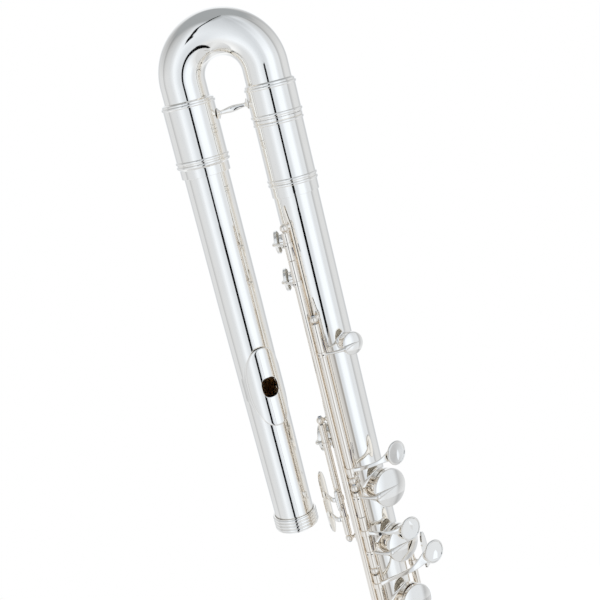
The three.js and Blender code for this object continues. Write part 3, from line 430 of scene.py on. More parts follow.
class FluteStage(bpy.types.PropertyGroup):
    lens: bpy.props.FloatProperty(
        name="Lens", description="Focal length of the camera", default=62.484, min=10, max=300, unit="CAMERA")
    floor_size: bpy.props.FloatProperty(
        name="Floor", description="Width of the round floor", default=1.8, min=0.5, max=20, unit="LENGTH")
    floor_glow: bpy.props.FloatProperty(
        name="Floor white", description="White that the camera sees on the floor beside its shadow",
        default=0.6, min=0, max=1)
    gap_width: bpy.props.FloatProperty(
        name="Dark gap", description="Width of the gap between the tent's panels that the tubes mirror as a dark line",
        default=0.054, min=0.001, max=0.3, unit="LENGTH")
    tent_strength: bpy.props.FloatProperty(
        name="Tent", description="Strength of the light tent", default=1.055, min=0, max=4)


# Finishes. A finish has a slot, a shader's name and a share of metal. Its colour and its roughness follow a noise,
# "grain", of (spots to the metre, detail, stretch, node). "run" gives the two values between which the noise goes from
# the first colour to the second, and "rough" the two values and the roughness at each, to which a polished finish adds
# the polish. "bump" is (strength, depth in metres) and follows the grain, or "fine" where it has a noise of its own.

PLATE = {"slot": "silver_plate", "metal": 1, "grain": (90, 3), "run": (0.3, 0.7), "rough": (0.3, 0.75, 0, 0.03),
         "polished": True, "bump": (0.02, 0.00002), "fine": (4200, 2, (1, 1, 0.25))}
FINISHES = {
    "silver": dict(PLATE, shader="mirror_silver", colours=(("silver", 1), ("silver", 0.985))),
    # A darker, warmer copy of the silver: painted shade on the mechanism between the keys
    "handled": dict(PLATE, shader="handled_silver", colours=(("handled", 1), ("handled", 0.985))),
    # Dark warm brown: painted shade inside the tubes
    "bore": {
        "slot": "silver_plate", "shader": "dull_bore", "metal": 1, "grain": (160, 3), "run": (0.3, 0.7),
        "colours": (("bore", 0.83), ("bore", 1)), "rough": (0.3, 0.7, 0.34, 0.5), "bump": (0.05, 0.0001)},
    "satin": {
        "slot": "satin_plate", "shader": "turned_plate", "metal": 1, "grain": (900, 2, (0.05, 0.05, 6)),
        "run": (0.3, 0.7), "colours": ((0.78, 0.78, 0.77), (0.86, 0.86, 0.85)), "rough": (0.3, 0.7, 0.2, 0.34),
        "bump": (0.06, 0.00005)},
    "steel": {
        "slot": "hinge_steel", "shader": "ground_steel", "metal": 1, "grain": (1400, 2, (1, 1, 0.02)),
        "run": (0.3, 0.7), "colours": (("steel", 0.75), ("steel", 1)), "rough": (0.3, 0.7, 0.16, 0.3),
        "bump": (0.05, 0.00003)},
    "blued": {
        "slot": "hinge_steel", "shader": "blued_spring", "metal": 1, "grain": (60, 2), "run": (0.35, 0.65),
        "colours": ((0.05, 0.07, 0.12), (0.16, 0.15, 0.2)), "rough": (0.3, 0.7, 0.22, 0.32)},
    # Near black with no metal: painted shade in the screw slots; the pin ends and the cork tip take it too
    "slot": {
        "slot": "hinge_steel", "shader": "screw_slot", "metal": 0, "grain": (500, 2), "run": (0.3, 0.7),
        "colours": ((0.012, 0.012, 0.012), (0.03, 0.028, 0.026)), "rough": (0.3, 0.7, 0.5, 0.7)},
    "skin": {
        "slot": "pad_skin", "shader": "pad_skin_membrane", "metal": 0, "grain": (420, 4), "run": (0.32, 0.7),
        "colours": (("skin", 0.8), ("skin", 1)), "rough": (0.3, 0.7, 0.4, 0.58), "bump": (0.25, 0.00015),
        "fine": (1600, 4)},
    "cork": {
        "slot": "cork", "shader": "pressed_cork", "metal": 0, "grain": (500, 2, (1, 1, 1), "ShaderNodeTexVoronoi"),
        "run": (0.1, 0.75), "colours": (("cork", 0.36), ("cork", 1)), "rough": (0.0, 0.8, 0.95, 0.78),
        "bump": (0.5, 0.0004)},
}


def new_finish(name):
    """A material with its tree and shader, or with nothing if it was made before."""
    made = bpy.data.materials.get(name)
    if made:
        return made, None, None
    made = bpy.data.materials.new(name)
    made.use_nodes = True
    tree = made.node_tree
    return made, tree, tree.nodes["Principled BSDF"]


def put(tree, kind, sockets=(), **values):
    """Adds a node, sets its properties and inputs, and gives each listed socket its source or its constant."""
    node = tree.nodes.new(kind)
    for key, value in values.items():
        if hasattr(node, key):
            setattr(node, key, value)
        else:
            node.inputs[key.replace("_", " ")].default_value = value
    for socket, source in sockets:
        if isinstance(source, bpy.types.NodeSocket):
            tree.links.new(source, node.inputs[socket])
        else:
            node.inputs[socket].default_value = source
    return node


def spread(tree, source, low, high, to_low, to_high):
    """Maps a stretch of one value to another."""
    return put(tree, "ShaderNodeMapRange", enumerate((source, low, high, to_low, to_high))).outputs[0]


def noise(tree, scale, detail=2.0, stretch=(1, 1, 1), kind="ShaderNodeTexNoise"):
    """A noise of so many spots to the metre, stretched along an axis."""
    spot = put(tree, "ShaderNodeTexCoord").outputs["Object"]
    spot = put(tree, "ShaderNodeMapping", [("Vector", spot)], Scale=stretch).outputs[0]
    return put(tree, kind, [("Vector", spot)], Scale=scale, Detail=detail).outputs[0]


def two_colours(tree, source, low, high, first, second):
    """A colour that goes from the first to the second as the source goes from low to high."""
    ramp = put(tree, "ShaderNodeValToRGB", [(0, source)])
    for element, spot, colour in zip(ramp.color_ramp.elements, (low, high), (first, second)):
        element.position, element.color = spot, (*colour, 1)
    return ramp.outputs[0]


def look(field, share):
    """A colour that the user may change, or a darker shade of it."""
    return tuple(c * share for c in getattr(bpy.context.scene.flute_looks, field))


def finish_of(kind):
    """The material of a finish."""
    plan = FINISHES[kind]
    made, tree, shader = new_finish(plan["shader"])
    if tree:
        grain = noise(tree, *plan["grain"])
        colours = [look(*c) if isinstance(c[0], str) else c for c in plan["colours"]]
        low, high, *rough = plan["rough"]
        polish = bpy.context.scene.flute_looks.polish if "polished" in plan else 0
        shader.inputs["Metallic"].default_value = plan["metal"]
        tree.links.new(two_colours(tree, grain, *plan["run"], *colours), shader.inputs["Base Color"])
        tree.links.new(spread(tree, grain, low, high, *(polish + r for r in rough)), shader.inputs["Roughness"])
        if "bump" in plan:
            strength, depth = plan["bump"]
            source = noise(tree, *plan["fine"]) if "fine" in plan else grain
            bump = put(tree, "ShaderNodeBump", [("Height", source)], Strength=strength, Distance=depth)
            tree.links.new(bump.outputs[0], shader.inputs["Normal"])
    return made


# Tubes


def inside(limit):
    """Gives a turned form's inner faces the bore's finish, whose dark warm colour is painted shade."""
    return lambda a, b: DARK if max(a[0], b[0]) < limit else SEEN


def bead(outer, low, width=2.2, rise=0.8, steps=8):
    """A raised ring, half round in section."""
    return [(outer + rise * math.sin(math.pi * k / steps), low + width * (1 - math.cos(math.pi * k / steps)) / 2)
            for k in range(steps + 1)]


def long_wall(radius, low, high, step=8):
    """Points up a straight wall, close enough that cuts in it leave no slivers."""
    count = max(2, int(abs(high - low) / step))
    return [(radius, low + (high - low) * k / count) for k in range(count + 1)]


def chimney(hole):
    """A tone hole's rim, drawn from the tube with a soft foot and a rolled top."""
    inner, outer = hole["radius"], hole["radius"] + hole["wall"]
    top = TUBE + hole["rise"]
    sides = 72
    angles = 2 * np.pi * np.arange(sides) / sides
    c, s = np.cos(angles), np.sin(angles)

    def on_tube(radius, above):
        y, z = radius * c, radius * s
        return np.stack([np.sqrt(np.maximum(TUBE ** 2 - y ** 2, 1)) + above, y, z], 1)

    def below_top(radius, drop):
        return np.stack([np.full(sides, top - drop), radius * c, radius * s], 1)

    foot = [(1.5, -0.03), (0.9, 0.06), (0.4, 0.28), (0.1, 0.7), (0, 1.2)]
    roll = [(outer, 0.42), (outer + 0.12, 0.28), (outer + 0.1, 0.06), (outer - 0.1, 0), (inner + 0.12, 0), (inner, 0.1)]
    back = [(inner, 0.6), (inner, -0.5), (inner + 0.3, -0.7), (outer + 1.4, -0.3)]
    rings = [on_tube(outer + grow, above) for grow, above in foot]
    rings += [below_top(radius, drop) for radius, drop in roll]
    rings += [on_tube(radius, above) for radius, above in back]
    return loft(rings, wrap=True).on_line(hole["line"], hole["z"])


def hole_cutter(hole):
    """The plug that is cut out of the tube under a tone hole."""
    radius, past = hole["radius"] + 0.3, TUBE + 6
    return turned([(0, 1), (radius, 1), (radius, past), (0, past)], 72).outward().on_line(hole["line"], hole["z"])


def with_holes(tube, notes):
    """Drills a tube and gives it the rims of its tone holes."""
    holes = [HOLES[note] for note in notes]
    return drilled(tube, joined(map(hole_cutter, holes))) + joined(map(chimney, holes))


class FLUTE_OT_body_tube(bpy.types.Operator):
    """Builds the body tube with its drawn tone holes"""
    bl_idname = "flute.body_tube"
    bl_label = "Body tube"

    def execute(self, context):
        notes = [note for note in HOLES if note not in FOOT_NOTES]
        wall = [*long_wall(TUBE, BODY_LOW, BODY_TOP), *long_wall(BORE, BODY_TOP, BODY_LOW), (TUBE, BODY_LOW)]
        dressed("body_tube", with_holes(turned(wall, TUBE_SIDES, tints=inside(BORE + 0.1)), notes), "silver", "bore")
        return {"FINISHED"}


class FLUTE_OT_foot_tube(bpy.types.Operator):
    """Builds the foot joint's tube"""
    bl_idname = "flute.foot_tube"
    bl_label = "Foot tube"

    def execute(self, context):
        low, high = SOCKET_FLOOR, SOCKET_TOP
        wide = SOCKET + 1.1
        wall = rounded([(BORE, 0), (TUBE + 1.1, 0), (TUBE + 1.1, 2.2), (TUBE, 6)], 0.5)
        wall += long_wall(TUBE, 7, low - 7)
        wall += rounded([(TUBE, low - 6), (wide, low - 2.2), (wide, high - 4.4)], 0.6)
        wall += bead(wide, high - 4.6)
        wall += rounded([(wide, high - 2.2), (wide + 0.8, high - 2), (wide + 0.8, high), (SOCKET, high), (SOCKET, low),
                         (BORE, low)], 0.3)
        wall += long_wall(BORE, low - 1, 0.5)

        def hidden(a, b):
            return inside((SOCKET if min(a[1], b[1]) > low - 0.4 else BORE) + 0.1)(a, b)

        tube = with_holes(turned([*wall, wall[0]], TUBE_SIDES, tints=hidden), FOOT_NOTES)
        dressed("foot_tube", tube.spun(FOOT_TURN), "silver", "bore")
        return {"FINISHED"}


def sleeve(node, radius, foot, low_edge, beads, high_edge, top, soft, x=0.0):
    """A sleeve that is turned from its lower edge over its beads to its upper edge, and bored to the socket's width."""
    profile = rounded([(SOCKET, foot), *low_edge], soft[0])
    for z in beads:
        profile += bead(radius, z)
    profile += rounded([*high_edge, (SOCKET, top), (SOCKET, foot)], soft[1])
    dressed(node, turned(profile, TUBE_SIDES, tints=inside(SOCKET + 0.02)).shifted(x), "silver", "bore")


class FLUTE_OT_barrel(bpy.types.Operator):
    """Builds the barrel"""
    bl_idname = "flute.barrel"
    bl_label = "Barrel"

    def execute(self, context):
        low, top = BARREL_LOW, BARREL_TOP
        sleeve("barrel", BARREL, low - 7, [(SOCKET + 0.6, low - 7), (SOCKET + 0.6, low - 1), (BARREL, low)],
               (low + 0.3, low + 3.3, top - 4.4),
               [(BARREL, top - 2.2), (BARREL + 0.4, top - 1.9), (BARREL + 0.4, top)], top, (0.2, 0.25))
        return {"FINISHED"}


def bow_path(radius, sides, low_left, low_right, steps=96):
    """Rings along the bow, from the left leg's end over the arc to the right leg's."""
    arc = RING_HEIGHT + 10.5
    middle, spread_by = -LEGS / 2, LEGS / 2
    spots = [((-LEGS, low_left), math.pi), ((-LEGS, arc - 0.5), math.pi)]
    spots += [((middle + spread_by * math.cos(a), arc + spread_by * math.sin(a)), a)
              for a in np.linspace(math.pi, 0, steps)]
    spots += [((0, arc - 0.5), 0.0), ((0, low_right), 0.0)]
    angles = 2 * np.pi * np.arange(sides) / sides
    rings = []
    for (x, z), a in spots:
        out = radius * np.cos(angles)
        rings.append(np.stack([x + out * math.cos(a), radius * np.sin(angles), z + out * math.sin(a)], 1))
    return rings


class FLUTE_OT_bow(bpy.types.Operator):
    """Builds the bow with its sleeve, ferrule and brace"""
    bl_idname = "flute.bow"
    bl_label = "Bow"

    def execute(self, context):
        left, right = RING_HEIGHT - 14, BODY_TOP + GAP
        sides = 96
        skin_rings = bow_path(TUBE, sides, left, right)
        shell = loft(skin_rings + bow_path(BORE, sides, left, right)[::-1], wrap=True)
        seen = (len(skin_rings) - 1) * sides
        shell.tints = [SEEN if k < seen else DARK for k in range(len(shell.faces))]
        dressed("bow_tube", shell, "silver", "bore")
        low, top = RING_HEIGHT - 44.5, RING_HEIGHT
        collar_radius = SOCKET + 1.25
        sleeve("bow_sleeve", SLEEVE, low - 7, [(collar_radius, low - 7), (collar_radius, low - 0.8), (SLEEVE, low)],
               (low + 0.05, low + 3.05, top - 4.4), [(SLEEVE, top - 2.1), (SLEEVE, top - 1.1)], top, (0.3, 0.4), -LEGS)
        low = BARREL_TOP + GAP
        sleeve("bow_ferrule", FERRULE, low, [(FERRULE, low), (FERRULE, low + 0.8)], (low + 0.8, top - 4.4),
               [(FERRULE, top - 2.1), (FERRULE, top - 1.1)], top, (0.2, 0.4))
        start, end = -LEGS + SLEEVE + GAP, -FERRULE - GAP
        middle = (start + end) / 2
        rows = smooth([(4, start + 0.2), (3.6, start + 0.6), (1.7, start + 1.8), (1.6, start + 4), (2.4, middle),
                       (1.6, end - 4), (1.7, end - 1.8), (3.6, end - 0.6), (4, end - 0.2)], 6)
        brace = turned([(0, start), (3.8, start), *rows, (3.8, end), (0, end)], 40)
        brace = brace.outward().shifted(-middle).spun(-BRACE_TILT, "Y").shifted(middle, z=RING_HEIGHT - 12.5)
        dressed("bow_brace", brace)
        return {"FINISHED"}


def lip_bore_at(z):
    """The radius of the lip tube's bore, which widens upwards."""
    share = min((z - LIP_LOW) / (TAPER_TOP - LIP_LOW), 1)
    return LIP_END - WALL + share * (TUBE - LIP_END)


def oval(count, power, half_width, half_height):
    """A rounded outline as (across, up) points."""
    a = 2 * np.pi * np.arange(count) / count
    c, s = np.cos(a), np.sin(a)
    return np.stack([np.sign(c) * np.abs(c) ** power * half_width, np.sign(s) * np.abs(s) ** power * half_height], 1)


def mouth_outline(grow, count=72):
    """The mouth hole's outline, or one that much larger."""
    return oval(count, 2 / 2.9, 5.9 + grow, 7.2 + grow)


def head(form):
    """Turns a form about the lip tube's axis and moves it there."""
    return form.spun(30 - 90).shifted(-LEGS)


class FLUTE_OT_lip_tube(bpy.types.Operator):
    """Builds the lip tube"""
    bl_idname = "flute.lip_tube"
    bl_label = "Lip tube"

    def execute(self, context):
        top = RING_HEIGHT - 14.3

        def taper(radius, shares):
            return [(radius + (TUBE - LIP_END) * t, LIP_LOW + (TAPER_TOP - LIP_LOW) * t) for t in shares]

        def hidden(a, b):
            return inside(lip_bore_at((a[1] + b[1]) / 2) + 0.1)(a, b)

        wall = taper(LIP_END, np.linspace(0, 1, 22)) + long_wall(TUBE, TAPER_TOP + 8, top)
        wall += long_wall(BORE, top, TAPER_TOP + 8) + taper(LIP_END - WALL, np.linspace(1, 0, 22))
        tube = turned([*wall, wall[0]], TUBE_SIDES, tints=hidden)
        mouth = mouth_outline(0) + (0, LIP_HEIGHT)
        cutter = loft([np.column_stack([np.full(len(mouth), x), mouth]) for x in (2, 24)])
        dressed("lip_tube", head(drilled(tube, cutter)), "silver", "bore")
        return {"FINISHED"}


class FLUTE_OT_lip_plate(bpy.types.Operator):
    """Builds the lip plate on its riser"""
    bl_idname = "flute.lip_plate"
    bl_label = "Lip plate"

    def execute(self, context):
        count = 120
        edge = oval(count, 0.8, 13.7, 29.5)

        def ring(grow, share, off, flat=False):
            """A ring that lies a share of the way from the mouth hole's outline to the plate's edge."""
            across, up = (mouth_outline(grow, count) * (1 - share) + edge * share).T
            x = 4.2 + np.sqrt(np.maximum((14.6 + off) ** 2 - across ** 2, 0))
            return np.column_stack([np.full(count, TUBE - 1.0) if flat else x, across, up + LIP_HEIGHT])

        rolled = [(0.95, -0.04), (0.97, -0.14), (0.985, -0.32), (0.996, -0.55), (1.0, -0.85), (0.995, -1.15),
                  (0.98, -1.3)]
        rings = [ring(0, 0, 0, True), ring(0, 0, -0.45), ring(0.1, 0, -0.15), ring(0.3, 0, 0)]
        rings += [ring(0.35, share, 0) for share in np.linspace(0.01, 0.93, 26)]
        rings += [ring(0.35, share, off) for share, off in rolled]
        rings += [ring(0.35, share, -1.3) for share in np.linspace(0.965, 0.12, 12)]
        rings += [ring(1.6, 0, -1.3), ring(1.6, 0, 0, True)]
        plate = loft(rings, wrap=True)
        seat = np.hypot(plate.points[:, 0], plate.points[:, 1])
        low = seat < TUBE + GAP
        plate.points[low, :2] *= ((TUBE + GAP) / seat[low])[:, None]
        dressed("lip_plate", head(plate))
        return {"FINISHED"}


class FLUTE_OT_crown(bpy.types.Operator):
    """Builds the crown and the stopper"""
    bl_idname = "flute.crown"
    bl_label = "Crown"

    def execute(self, context):
        top = LIP_LOW - GAP
        low = top - CROWN_TALL
        radius = LIP_END + 1.9
        spigot = LIP_END - 1.0
        base = low + CROWN_BASE
        skirt = top + 2.6
        profile = [(0, low), (radius * 0.3, low + 0.12), (radius * 0.55, low + 0.55), (radius - 3.2, low + 1.5),
                   (radius - 1.4, low + 2.2), (radius - 0.6, low + 2.8)]
        beads = 4
        tall = (skirt - 0.5 - base) / beads
        for i in range(beads):
            z = base + i * tall
            profile += [(radius - 0.62 + 0.62 * math.sin(math.pi * t), z + tall * (0.5 - 0.46 * math.cos(math.pi * t)))
                        for t in np.linspace(0.02, 0.98, 9)]
        neck = LIP_END + 0.3
        profile += rounded([(radius - 0.6, skirt), (neck, skirt), (neck, top), (spigot, top), (spigot, top + 6),
                            (spigot - 1.4, top + 6), (spigot - 1.4, base + 1.6), (2.4, base + 1.6), (2.4, low + 1.07),
                            (0, low + 1.07)], 0.12)
        dressed("crown", head(turned(profile, TUBE_SIDES)))
        face = LIP_HEIGHT - 28
        disc = lip_bore_at(face - 1.5) - 0.6
        low_screw = LIP_LOW - CROWN_TALL + CROWN_BASE
        thread = [(2.1 - 0.25 * (k % 2), low_screw + 0.5 + k * 0.35) for k in range(60)]
        screw = [(0, low_screw), (1.8, low_screw), *thread, (2.1, thread[-1][1] + 0.5), (2.1, face - 1.5)]
        screw += rounded([(disc, face - 1.5), (disc, face), (0, face)], 0.2)
        dressed("stopper_screw", head(turned(screw, 48)), "satin")
        cork_top = face - 1.8
        cork_low = cork_top - 22
        dressed("stopper_cork", head(pipe(2.4, lip_bore_at(cork_low) - GAP, cork_low, cork_top, 64, 0.6)), "cork")
        high = cork_low - GAP
        dressed("stopper_washer", head(pipe(2.4, lip_bore_at(high - 2) - 0.6, high - 2, high, 64, 0.3)), "satin")
        return {"FINISHED"}


# Ribs, posts and steels


def rib(line, low, high, spear=0):
    """A strap soldered along the tube, drawn out to a spear at its upper end if asked."""
    half = math.radians(7.5)
    levels = [low, low + 0.15, low + 0.6]
    levels += list(np.linspace(low + 2, high - max(spear, 3), max(4, int((high - low) / 12))))
    levels += list(np.linspace(high - max(spear, 3), high - 0.05, 24))[1:]
    rings = []
    for z in levels:
        share = 1.0
        if z < low + 0.6:
            share = 0.93 + 0.07 * math.sqrt((z - low) / 0.6)
        left = (high - z) / spear if spear else 1.0
        if spear and left < 1:
            share = 0.04 + 0.96 * (math.sin(left * math.pi / 2) ** 1.1) * (1 - 0.2 * math.sin(left * math.pi) ** 2)
        elif not spear and z > high - 0.6:
            share = 0.93 + 0.07 * math.sqrt(max(high - z, 0) / 0.6)
        w = half * share
        edge = min(0.3 / RIB_OUT, w * 0.4)
        outer = [(RIB_OUT, t) for t in np.linspace(-w + edge, w - edge, 7)]
        side = [(RIB_OUT - 0.1, w - edge * 0.3), (RIB_OUT - 0.35, w)]
        inner = [(RIB_IN, t) for t in np.linspace(w, -w, 5)]
        other = [(RIB_OUT - 0.35, -w), (RIB_OUT - 0.1, -w + edge * 0.3)]
        rings.append(np.array([(r * math.cos(t), r * math.sin(t), z) for r, t in outer + side + inner + other]))
    return loft(rings).spun(line - 90)


def post(place, z):
    """A turned post: a foot, a waisted stem and a ball bored for the steel."""
    reach = reach_of(place)
    foot = RIB_IN + 0.6
    rows = smooth([(2.0, foot + 0.5), (1.75, foot + 0.95), (1.3, foot + 1.5), (1.25, reach - 0.9 * BALL)], 4)
    ball = [(BALL * math.sin(a), reach - BALL * math.cos(a)) for a in np.linspace(math.radians(27), math.pi, 18)]
    return turned([(0, foot), (2.0, foot), *rows, *ball], 36).outward().on_line(line_of(place), z)


def screw_end(place, z, up):
    """The slotted head of a steel, in the face of its post's ball."""
    low, high = (z - 0.6, z + 0.1) if up else (z - 0.1, z + 0.6)
    return rod(1.5, low, high, 28, 0.15).at(place)


def screw_slot(place, z, up, turn):
    """The slot across a steel's head: a thin bar on the head, painted near black as the slot's painted shade."""
    bar = strip([(x, 0, 0, 0.32, 0.35) for x in (-1.3, 0, 1.3)], (0, 0, 1), 8, 6, 2, (0, 0)).spun(turn)
    return bar.painted(DARK).at(place, z + (0.02 if up else -0.02))


def posted(node, straps, place, heights, turn=0):
    """Ribs and their posts."""
    forms = [rib(*strap) for strap in straps] + [post(place, z) for z in heights]
    # Ribs and posts take the darker silver of painted shade
    dressed(node, joined(forms).spun(turn), "handled")


class FLUTE_OT_ribs(bpy.types.Operator):
    """Builds the ribs and their posts"""
    bl_idname = "flute.ribs"
    bl_label = "Ribs"

    def execute(self, context):
        main, trill, thumb, g_sharp = RODS.values()
        line = line_of(main)
        posted("main_rib", [(line, SOCKET_TOP + GAP, MAIN_POSTS[0] + SPEAR_END, 15)], main, MAIN_POSTS)
        posted("trill_rib", [(-32, TRILL_POSTS[1] - STRAP_END, TRILL_POSTS[0] + SPEAR_END, 15)], trill, TRILL_POSTS)
        posted("thumb_rib", [(line_of(thumb), THUMB_POSTS[1] - STRAP_END, THUMB_POSTS[0] + 14, 12)], thumb, THUMB_POSTS)
        for node, z in zip(("g_sharp_post_upper", "g_sharp_post_lower"), G_SHARP_POSTS):
            posted(node, [(105, z - STRAP_END, z + STRAP_END)], g_sharp, [z])
        posted("foot_rib", [(line, FOOT_POSTS[1] - STRAP_END, SOCKET_FLOOR - 6 - GAP)], main, FOOT_POSTS, FOOT_TURN)
        return {"FINISHED"}


class FLUTE_OT_steels(bpy.types.Operator):
    """Builds the steels that the keys turn on"""
    bl_idname = "flute.steels"
    bl_label = "Steels"

    def execute(self, context):
        main = RODS["main"]
        steels = {
            "upper_steel": (main, MAIN_POSTS[:2]), "lower_steel": (main, MAIN_POSTS[2:]),
            "thumb_steel": (RODS["thumb"], THUMB_POSTS), "g_sharp_steel": (RODS["g_sharp"], G_SHARP_POSTS),
        }
        for node, (place, heights) in steels.items():
            low, high = min(heights) - BALL, max(heights) + BALL
            forms = [rod(STEEL, low, high, 24).at(place), screw_end(place, high, True), screw_end(place, low, False),
                     screw_slot(place, high + 0.12, True, 35), screw_slot(place, low - 0.12, False, 110)]
            dressed(node, joined(forms), "steel", "slot")
        return {"FINISHED"}


# Key pieces, drawn shut


def rod_from(hole, place):
    """The rod's place in the frame of a hole: how far out and how far across."""
    spot = Matrix.Rotation(math.radians(90 - hole["line"]), 4, "Z") @ Vector(place)
    return spot.x - TUBE - hole["rise"], spot.y


def seat_on(hole, form):
    """Moves a form drawn along +X onto a tone hole's rim."""
    return form.shifted(TUBE + hole["rise"]).on_line(hole["line"], hole["z"])


def squat_of(hole):
    """How flat a cup is against a large one: the small trill cups lie lower."""
    return hole.get("squat", 1.0)


def cup(hole):
    """A domed cup with a soft rim, hollow for its pad."""
    r = hole["cup"]
    shares = np.linspace(1, 0, 22)[1:]
    dome = [(r * 0.985 * t, SKIRT_HIGH + 0.28 + (CUP_TOP - SKIRT_HIGH - 0.28) * (1 - t ** 2.3)) for t in shares]
    rim = [(0, RECESS), (r - 0.8, RECESS), (r - 0.8, SKIRT_LOW), (r, SKIRT_LOW), (r, SKIRT_HIGH - 0.4)]
    lip = [(r - 0.02, SKIRT_HIGH - 0.12), (r - 0.1, SKIRT_HIGH + 0.12), (r - 0.3, SKIRT_HIGH + 0.3)]
    dome = [p for p in dome if p[0] < r - 0.4]
    low = squat_of(hole)
    return turned([(x, z * low) for x, z in [*rounded(rim, 0.22), *lip, *dome]], 96).outward()


def pad(hole):
    """A soft pad with the ring that the tone hole presses into it."""
    r = hole["cup"] - 1.1
    dent = hole["radius"] + hole["wall"] / 2
    rows = [(0, 0.42), (dent - 1.6, 0.4), (dent - 0.7, 0.42), (dent, 0.62), (dent + 0.7, 0.42), (r - 0.5, 0.4),
            (r - 0.1, 0.62), (r, 1.0), (r, PAD_TOP - 0.3), (r - 0.3, PAD_TOP), (0, PAD_TOP)]
    low = squat_of(hole)
    return turned([(x, z * low) for x, z in rows], 72).outward()


def cup_arm(hole, place, root_z):
    """The slim arm from the hinge tube over the cup's rim, ending in a ridged point on its dome."""
    x, y = rod_from(hole, place)
    side = math.copysign(1, y)
    reach = abs(y)
    r = hole["cup"]
    root = root_z - hole["z"]
    slim = min(1.0, r / 14) ** 0.4
    top = CUP_TOP * squat_of(hole)
    rows = [
        (x + 0.2, side * reach, root, 3.2 * slim, 3.0), (x + 2.0, side * (reach - 1.6), root, 2.6 * slim, 2.4),
        (top * 0.55 + x * 0.45 + 0.5, side * (reach * 0.45 + r * 0.55), root * 0.8, 2.4 * slim, 2.4),
        (top - 0.9, side * (r + 0.1), root * 0.5, 3.4 * slim, 2.8),
        (top - 0.4, side * r * 0.78, root * 0.3, 4.0 * slim, 2.6),
        (top - 0.15, side * r * 0.2, 0, 2.5 * slim, 1.9), (top - 0.45, -side * r * 0.58, 0, 0.35, 0.7),
    ]
    return strip(rows, (1, 0, 0), fullness=1.6, tips=(0.2, 0.3))


def hinge(span, place):
    """A hinge tube on its rod."""
    # Hinge tubes take the third finish, the darker silver of painted shade
    return pipe(HINGE_BORE, HINGE, *span, 40, 0.25).painted(HINGED).at(place)


def collar(place, z, width=3.8, radius=3.25):
    """A turned ring round a hinge tube, where an arm is soldered on."""
    # Collars take the third finish, the darker silver of painted shade
    return pipe(HINGE - 0.2, radius, z - width / 2, z + width / 2, 40, 0.4).painted(HINGED).at(place)


def pin_dots(place, z, lines):
    """The ends of the taper pins that lock a key to its steel."""
    dot = turned([(0, 2.4), (0.5, 2.4), (0.5, 3.36), (0.3, 3.44), (0, 3.44)], 16, DARK).outward()
    return joined(dot.on_line(line) for line in lines).at(place, z)


def key(name, place, tubes, cups=(), rest=(), open_by=0, turn=0, pins=()):
    """Builds a key: its cups, arms and hinge tubes turned to rest, and the pieces drawn at rest."""
    forms = [hinge(span, place) for span in tubes]
    for note, root, _ in cups:
        hole = HOLES[note]
        forms += [seat_on(hole, cup(hole)), seat_on(hole, cup_arm(hole, place, root)), collar(place, root)]
    shut = joined(forms).about(place, -open_by)
    marks = joined(pin_dots(place, z, lines) for z, lines in pins)
    whole = (shut + joined(rest) + marks).spun(turn)
    # The third finish is the darker silver of painted shade, on hinge tubes and collars
    dressed(name, whole, "silver", "slot", "handled")
    for note, _, pad_name in cups:
        hole = HOLES[note]
        dressed(pad_name, seat_on(hole, pad(hole)).about(place, -open_by).spun(turn), "skin")


def disc():
    """A thin finger disc with a fine rim round a shallow face, which looks along +X."""
    rim = rounded([(0, 0), (TOUCH - 0.7, 0), (TOUCH, 0.9), (TOUCH, 1.5), (TOUCH - 0.5, 2.2), (TOUCH - 1.0, 2.2),
                   (TOUCH - 1.4, 1.75)], 0.25)
    face = [(TOUCH - 2.2 - k * 0.6, 1.7 - 0.02 * k) for k in range(11)]
    return turned([*rim, *face, (0, 1.48)], 96).outward()


def touch(place, over, root, rise, off, line, facing):
    """A finger disc on a flat arm that leaves its collar as a slim strip and fans out under the disc."""
    root_z, z = HOLE_Z[over] + root, HOLE_Z[over] + rise
    radius = TUBE + off
    own = line_of(place)
    start = reach_of(place) + 2
    face = on_circle(1, facing)
    seat = on_circle(radius, line, z)
    out = on_circle(start, own + (line - own) / 3, root_z + (z - root_z) * 0.28)
    near = on_circle(start * 0.45 + (radius - 1.7) * 0.55, own + 2 * (line - own) / 3, root_z + (z - root_z) * 0.6)
    ahead = seat * 0.62 + near * 0.38
    rows = [(place[0], place[1], root_z, 3.4, 3.4), (*out, 2.8, 2.2), (*near, 3.6, 1.8),
            (*(ahead + face * 0.1), 8, 1.5), (*(seat + face * 0.75), 13, 1.2)]
    arm = strip(rows, on_circle(1, own), 24, 3.2, tips=(0.3, 2.0))
    return [arm, disc().on_line(facing).shifted(*seat), collar(place, root_z, width=4.4, radius=3.5)]


def side_arm(spots, z, widths, thicknesses, up):
    """An arm at one height, from its hinge tube through the given spots."""
    rows = [(spot[0], spot[1], z, wide, thick) for spot, wide, thick in zip(spots, widths, thicknesses)]
    return strip(rows, up, fullness=2.6)


def between(posts, i):
    """The span that is free between one post and the next one down."""
    return posts[i + 1] + PAST_POST, posts[i] - PAST_POST


def split(span, *cuts):
    """Parts a span at the cuts, with a gap at each."""
    edges = [span[0], *cuts, span[1]]
    return [(low + (GAP / 2 if i else 0), high - (GAP / 2 if i < len(edges) - 2 else 0))
            for i, (low, high) in enumerate(zip(edges, edges[1:]))]


